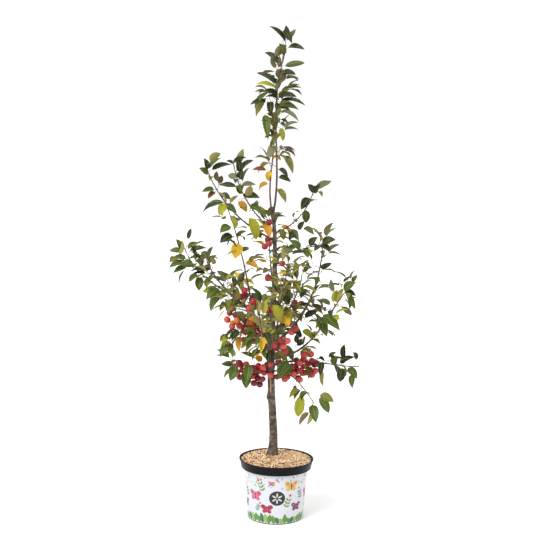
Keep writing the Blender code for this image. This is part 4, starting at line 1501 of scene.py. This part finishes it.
def make_pot():
    """The black pot with its flared collar, and the pale printed sleeve."""
    skin = SLEEVE_THICKNESS + GAP
    lip_foot = POT_HEIGHT - LIP_HEIGHT
    profile = (
        (0.0, 0.0),
        (FOOT_RADIUS - FOOT_ROUNDING, 0.0),
        (FOOT_RADIUS - MID_ROUND * FOOT_ROUNDING, MID_ROUND * FOOT_ROUNDING),
        (FOOT_RADIUS, FOOT_ROUNDING),
        (body_radius(SLEEVE_FOOT), SLEEVE_FOOT),
        (body_radius(SLEEVE_FOOT, skin), SLEEVE_FOOT),
        (body_radius(SHOULDER_HEIGHT, skin), SHOULDER_HEIGHT),
        (COLLAR_FOOT_RADIUS - COLLAR_ROUNDING, SHOULDER_HEIGHT),
        (COLLAR_FOOT_RADIUS, SHOULDER_HEIGHT + COLLAR_ROUNDING),
        (collar_radius(lip_foot - LIP_UNDERSIDE, LIP_PROUD), lip_foot - LIP_UNDERSIDE),
        (collar_radius(lip_foot, LIP_PROUD), lip_foot - LIP_PROUD),
        (COLLAR_TOP_RADIUS - LIP_EDGE_IN, lip_foot - LIP_EDGE_DOWN),
        (COLLAR_TOP_RADIUS, lip_foot + LIP_EDGE_UP),
        (COLLAR_TOP_RADIUS, POT_HEIGHT - LIP_ROUNDING),
        (COLLAR_TOP_RADIUS - MID_ROUND * LIP_ROUNDING, POT_HEIGHT - MID_ROUND * LIP_ROUNDING),
        (COLLAR_TOP_RADIUS - LIP_ROUNDING, POT_HEIGHT),
        (COLLAR_TOP_RADIUS - WALL, POT_HEIGHT),
        (collar_radius(SHOULDER_HEIGHT + SHOULDER_RISE, WALL), SHOULDER_HEIGHT + SHOULDER_RISE),
        (body_radius(SHOULDER_HEIGHT, skin + WALL), SHOULDER_HEIGHT + SHOULDER_RISE),
        (body_radius(WALL, skin + WALL), WALL),
        (0.0, WALL),
    )
    black = surface("pot_black", 0.34, POT_BLACK, (300.0, 0.18, 0.0004), spread=(0.28, 0.42), specular=0.13)
    make_piece("pot_shell", revolved(profile, POT_SIDES), [black], ("pot_wall",), crease=28)
    low = SLEEVE_FOOT + GAP
    high = SHOULDER_HEIGHT - GAP
    profile = (
        (body_radius(low), low),
        (body_radius((low + high) / 2), (low + high) / 2),
        (body_radius(high), high),
        (body_radius(high, SLEEVE_THICKNESS), high),
        (body_radius(low, SLEEVE_THICKNESS), low),
    )
    white = surface("sleeve_white", 0.26, SLEEVE_TONES, (5.0, 0.05, 0.0003), spread=(0.22, 0.32))
    sleeve = revolved(profile, POT_SIDES)
    make_piece("pot_sleeve_print", sleeve, [white], ("pot_sleeve",), crease=28)


def oval(wide, high, count=18):
    """Outline of an oval."""
    turns = [2 * math.pi * i / count for i in range(count)]
    return [(wide * math.cos(turn), high * math.sin(turn)) for turn in turns]


def leaf_outline(length, width, count=9):
    """Outline of a pointed leaf round its middle."""
    right = [(width / 2 * math.sin(math.pi * i / count) ** 0.8, length * (i / count - 0.5))
             for i in range(count + 1)]
    return right + [(-x, y) for x, y in reversed(right[1:-1])]


class Print:
    """Flat motifs on the sleeve, each layer of ink a hair prouder than the last."""

    def __init__(self):
        self.heap = Heap()
        self.layer = 0

    def on_sleeve(self, turn, along, height):
        """Point at a distance round the sleeve from a turn, just proud of it."""
        height = min(max(height, SLEEVE_FOOT + GAP), SHOULDER_HEIGHT - GAP)
        radius = body_radius(height)
        angle = math.radians(turn) + along / radius
        radius += INK_LIFT + INK_LAYER * (self.layer % INK_LAYERS)
        return Vector((radius * math.cos(angle), radius * math.sin(angle), height))

    def patch(self, turn, height, outline, ink, tilt=0.0, off=(0.0, 0.0)):
        """Fill an outline, in rings that follow the sleeve; off moves its middle."""
        self.layer += 1
        turn += math.degrees(off[0] / body_radius(height))
        height += off[1]
        cosine, sine = math.cos(math.radians(tilt)), math.sin(math.radians(tilt))
        count = len(outline)
        corners = [self.on_sleeve(turn, 0, height)]
        for r in range(1, PATCH_RINGS + 1):
            for x, y in outline:
                x, y = x * r / PATCH_RINGS, y * r / PATCH_RINGS
                corners.append(self.on_sleeve(turn, x * cosine - y * sine, height + x * sine + y * cosine))
        faces = []
        for i in range(count):
            k = (i + 1) % count
            faces.append((0, 1 + i, 1 + k))
            for r in range(PATCH_RINGS - 1):
                a = 1 + r * count
                faces.append((a + i, a + count + i, a + count + k, a + k))
        self.heap.add(corners, faces, list(INKS).index(ink))

    def butterfly(self, turn, height, size, wing, spot):
        """Four wings with spots, and a body."""
        self.layer = 0
        for side in (-1, 1):
            for (out, up, wide, high, tilt), ink in zip(WINGS, (wing, wing, spot)):
                outline = oval(size * wide, size * high)
                self.patch(turn, height, outline, ink, side * tilt, (side * size * out, size * up))
        self.patch(turn, height, oval(size * BODY[0], size * BODY[1], 12), "plum")

    def sprig(self, turn, height, size, tilt, ink, berry):
        """A stem with three pairs of leaves and a berry at its end."""
        self.layer = 0
        x, y = -math.sin(math.radians(tilt)), math.cos(math.radians(tilt))
        length, width = SPRIG_LEAF
        self.patch(turn, height, oval(STEM, size, 12), ink, tilt)
        for i in range(3):
            reach = size * (SPRIG_START + SPRIG_STEP * i)
            for side in (-1, 1):
                off = (x * reach + side * y * size * width, y * reach - side * x * size * width)
                leaf = leaf_outline(size * length, size * width)
                self.patch(turn, height, leaf, ink, tilt - side * SPRIG_OPENING, off)
        dot = oval(size * SPRIG_BERRY, size * SPRIG_BERRY)
        self.patch(turn, height, dot, berry, 0, (x * size * SPRIG_BERRY_OUT, y * size * SPRIG_BERRY_OUT))

    def disc(self, turn):
        """A dark disc with a ring of pale leaves."""
        shift, height, wide, high = DISC
        count, out, length, width = DISC_LEAVES
        self.layer = 0
        self.patch(turn + shift, height, oval(wide, high, 32), "charcoal")
        for i in range(count):
            tilt = 360 * i / count
            angle = math.radians(tilt)
            off = (-out * math.sin(angle), out * math.cos(angle))
            self.patch(turn + shift, height, leaf_outline(length, width), "cream", tilt, off)


def make_print():
    """Butterflies, sprigs, dots and a leafy border on the sleeve."""
    art = Print()
    dice = random.Random("border")
    for i in range(BORDER_LEAVES):
        tall = dice.uniform(*BORDER_HEIGHTS)
        art.layer = i % BORDER_LAYERS
        leaf = leaf_outline(tall, BORDER_WIDTH)
        art.patch(360.0 * i / BORDER_LEAVES, SLEEVE_FOOT + tall * BORDER_SEAT, leaf,
                  BORDER_INKS[i % len(BORDER_INKS)], dice.uniform(-BORDER_TILT, BORDER_TILT))
    for turn in MOTIF_TURNS:
        for shift, *rest in BUTTERFLIES:
            art.butterfly(turn + shift, *rest)
        for shift, *rest in SPRIGS:
            art.sprig(turn + shift, *rest)
        art.disc(turn)
    dice = random.Random("berries")
    for i in range(DOTS):
        turn = dice.uniform(0, 360)
        height = dice.uniform(*DOT_HEIGHTS)
        size = dice.uniform(*DOT_RADII)
        art.layer = i
        art.patch(turn, height, oval(size, size, 12), dice.choice(DOT_INKS))
    looks = [surface("ink_" + name, 0.26, colour, (60.0, 0.05, 0.0002), spread=(0.22, 0.32))
             for name, colour in INKS.items()]
    make_piece("pot_print_motifs", art.heap, looks)


BED_RADIUS = collar_radius(CHIPS_EDGE, WALL + 2 * GAP)


def chips_height(radius):
    """Height of the heaped chips at a distance from the pot's middle."""
    middle = 0.5 * (BED_RADIUS + CHIPS_FLAT_RADIUS)
    if radius < CHIPS_FLAT_RADIUS:
        return GROUND
    if radius < middle:
        share = (radius - CHIPS_FLAT_RADIUS) / (middle - CHIPS_FLAT_RADIUS)
        return GROUND + (CHIPS_MIDDLE - GROUND) * share
    return CHIPS_MIDDLE + (CHIPS_EDGE - CHIPS_MIDDLE) * (radius - middle) / (BED_RADIUS - middle)


def make_chip_bed():
    """The bed of chips, rough on top and flat underneath."""
    corners = [Vector((0, 0, GROUND - BED_SUNK))]
    turns = [2 * math.pi * i / BED_SIDES for i in range(BED_SIDES)]
    for r in range(1, BED_RINGS + 1):
        radius = BED_RADIUS * r / BED_RINGS
        for turn in turns:
            x, y = radius * math.cos(turn), radius * math.sin(turn)
            spot = Vector((x * BED_SCALE, y * BED_SCALE, BED_SLICE))
            rough = BED_ROUGHNESS * noise.noise(spot) - BED_SUNK
            corners.append(Vector((x, y, chips_height(radius) + rough)))
    low = collar_radius(COMPOST_TOP + GAP, WALL + 2 * GAP)
    for turn in turns:
        corners.append(Vector((low * math.cos(turn), low * math.sin(turn), COMPOST_TOP + GAP)))
    faces = [(0, 1 + i, 1 + (i + 1) % BED_SIDES) for i in range(BED_SIDES)]
    for r in range(BED_RINGS):
        a, b = 1 + r * BED_SIDES, 1 + (r + 1) * BED_SIDES
        for i in range(BED_SIDES):
            k = (i + 1) % BED_SIDES
            faces.append((a + i, b + i, b + k, a + k))
    faces.append(tuple(reversed(range(1 + BED_RINGS * BED_SIDES, 1 + (BED_RINGS + 1) * BED_SIDES))))
    heap = Heap()
    heap.add(corners, faces, 0)
    bed = surface("chip_bed", 0.9, CHIP_TONES, (160.0, 0.8, 0.002))
    make_piece("chip_bed", heap, [bed], ("wood_chips",), crease=60)


def make_loose_chips():
    """Loose chips lying over the bed, and more of them round the trunk's foot."""
    heap = Heap()
    dice = random.Random("chips")
    _, foot_x, foot_y, foot_radius = TRUNK[0]
    for number in range(CHIP_COUNT + FOOT_CHIPS):
        radius = (BED_RADIUS - CHIP_MARGIN) * math.sqrt(dice.random())
        turn = dice.uniform(0, 2 * math.pi)
        x, y = radius * math.cos(turn), radius * math.sin(turn)
        rise = 0.0
        if number >= CHIP_COUNT:
            reach = foot_radius + dice.uniform(*FOOT_GAPS)
            x, y = foot_x + reach * math.cos(turn), foot_y + reach * math.sin(turn)
            radius = math.hypot(x, y)
            rise = FOOT_RISE * (1 - (reach - foot_radius) / FOOT_GAPS[1])
        if math.hypot(x - foot_x, y - foot_y) - foot_radius < CHIP_CLEARANCE:
            continue
        size = Vector([dice.uniform(*span) for span in CHIP_SIZES])
        turns = (Matrix.Rotation(dice.uniform(0, math.pi), 3, "Z")
                 @ Matrix.Rotation(dice.gauss(0, CHIP_TILT), 3, "Y")
                 @ Matrix.Rotation(dice.gauss(0, CHIP_ROLL), 3, "X"))
        middle = Vector((x, y, chips_height(radius) + dice.uniform(0.0, CHIP_LIFT) + rise))
        corners = []
        for a, b, c in product((-1, 1), repeat=3):
            taper = dice.uniform(*CHIP_TAPER)
            along = a * size.x / 2 * dice.uniform(*CHIP_RAGGED)
            corners.append(middle + turns @ Vector((along, b * size.y / 2 * taper, c * size.z / 2)))
        heap.add(corners, CHIP_FACES, dice.choice(CHIP_LOOKS))
    looks = [surface("chip_" + str(i), 0.85, colour, (500.0, 0.5, 0.0005), (1, 0.3, 1), (0.75, 0.95))
             for i, colour in enumerate(CHIP_COLOURS)]
    make_piece("loose_chips", heap, looks, crease=20)


# Floor and light


def make_stage():
    """A plain pale floor under plain soft light."""
    half = FLOOR_SIDE / 2
    mesh = bpy.data.meshes.new("floor")
    corners = [(-half, -half, 0), (half, -half, 0), (half, half, 0), (-half, half, 0)]
    mesh.from_pydata(corners, [], [(0, 1, 2, 3)])
    mesh.materials.append(surface("floor_pale", 0.9, FLOOR_COLOUR, specular=0.1))
    floor = bpy.data.objects.new("floor", mesh)
    bpy.context.scene.collection.objects.link(floor)
    world = bpy.data.worlds.new("studio")
    world.use_nodes = True
    back = world.node_tree.nodes["Background"]
    back.inputs["Color"].default_value = (1.0, 1.0, 1.0, 1.0)
    back.inputs["Strength"].default_value = SKY_STRENGTH
    bpy.context.scene.world = world
    for name, place, strength, spread in LAMPS:
        data = bpy.data.lights.new(name, "SUN")
        data.energy = strength
        data.angle = math.radians(spread)
        lamp = bpy.data.objects.new(name, data)
        lamp.rotation_euler = Vector(place).to_track_quat("Z", "Y").to_euler()
        bpy.context.scene.collection.objects.link(lamp)
    bpy.context.scene.view_settings.view_transform = "Standard"


def make_plant():
    """Wood, twigs, leaves, stalks and fruit."""
    nodes = list(frame["nodes"])
    make_trunk()
    make_boughs(nodes)
    samples = sample_limbs()
    foliage = Foliage()
    grow_shown(foliage, samples)
    grow_by_rule(foliage)
    fruit = grow_fruit(foliage, samples)
    looks = make_leaf_materials()
    masses = [name for name in nodes if name.startswith("foliage_")]
    for i, heap in enumerate(foliage.leaves):
        make_piece("leaves_" + str(i + 1), heap, looks, () if i else masses, crease=70)
    twig = bark_material("twig_bark", TWIG_BARK, 200.0, 0.4)
    make_piece("twigs", foliage.twigs, [twig], crease=80)
    stalks = [surface(name, 0.5, colour, (600.0, 0.2, 0.0003)) for name, colour in STALK_COLOURS]
    make_piece("stalks", foliage.stalks, stalks, crease=80)
    skins = [surface("fruit_" + name, 0.30, colour, (260.0, 0.12, 0.0004), spread=(0.24, 0.40),
                     specular=0.35, coat=(0.12, 0.25)) for name, colour in FRUIT_TINTS.items()]
    calyx = surface("fruit_calyx", 0.8, CALYX_COLOUR, (500.0, 0.4, 0.0003))
    make_piece("fruit", fruit, skins + [calyx], crease=50)


def finish_compost():
    """The hidden compost keeps its solid and gets a crumbly surface."""
    crumb = surface("compost_crumb", 0.95, CRUMB_TONES, (140.0, 0.9, 0.003))
    for slot in frame["nodes"]["compost"].material_slots:
        slot.material = crumb


make_camera()
make_stage()
make_pot()
make_print()
make_chip_bed()
make_loose_chips()
make_plant()
finish_compost()
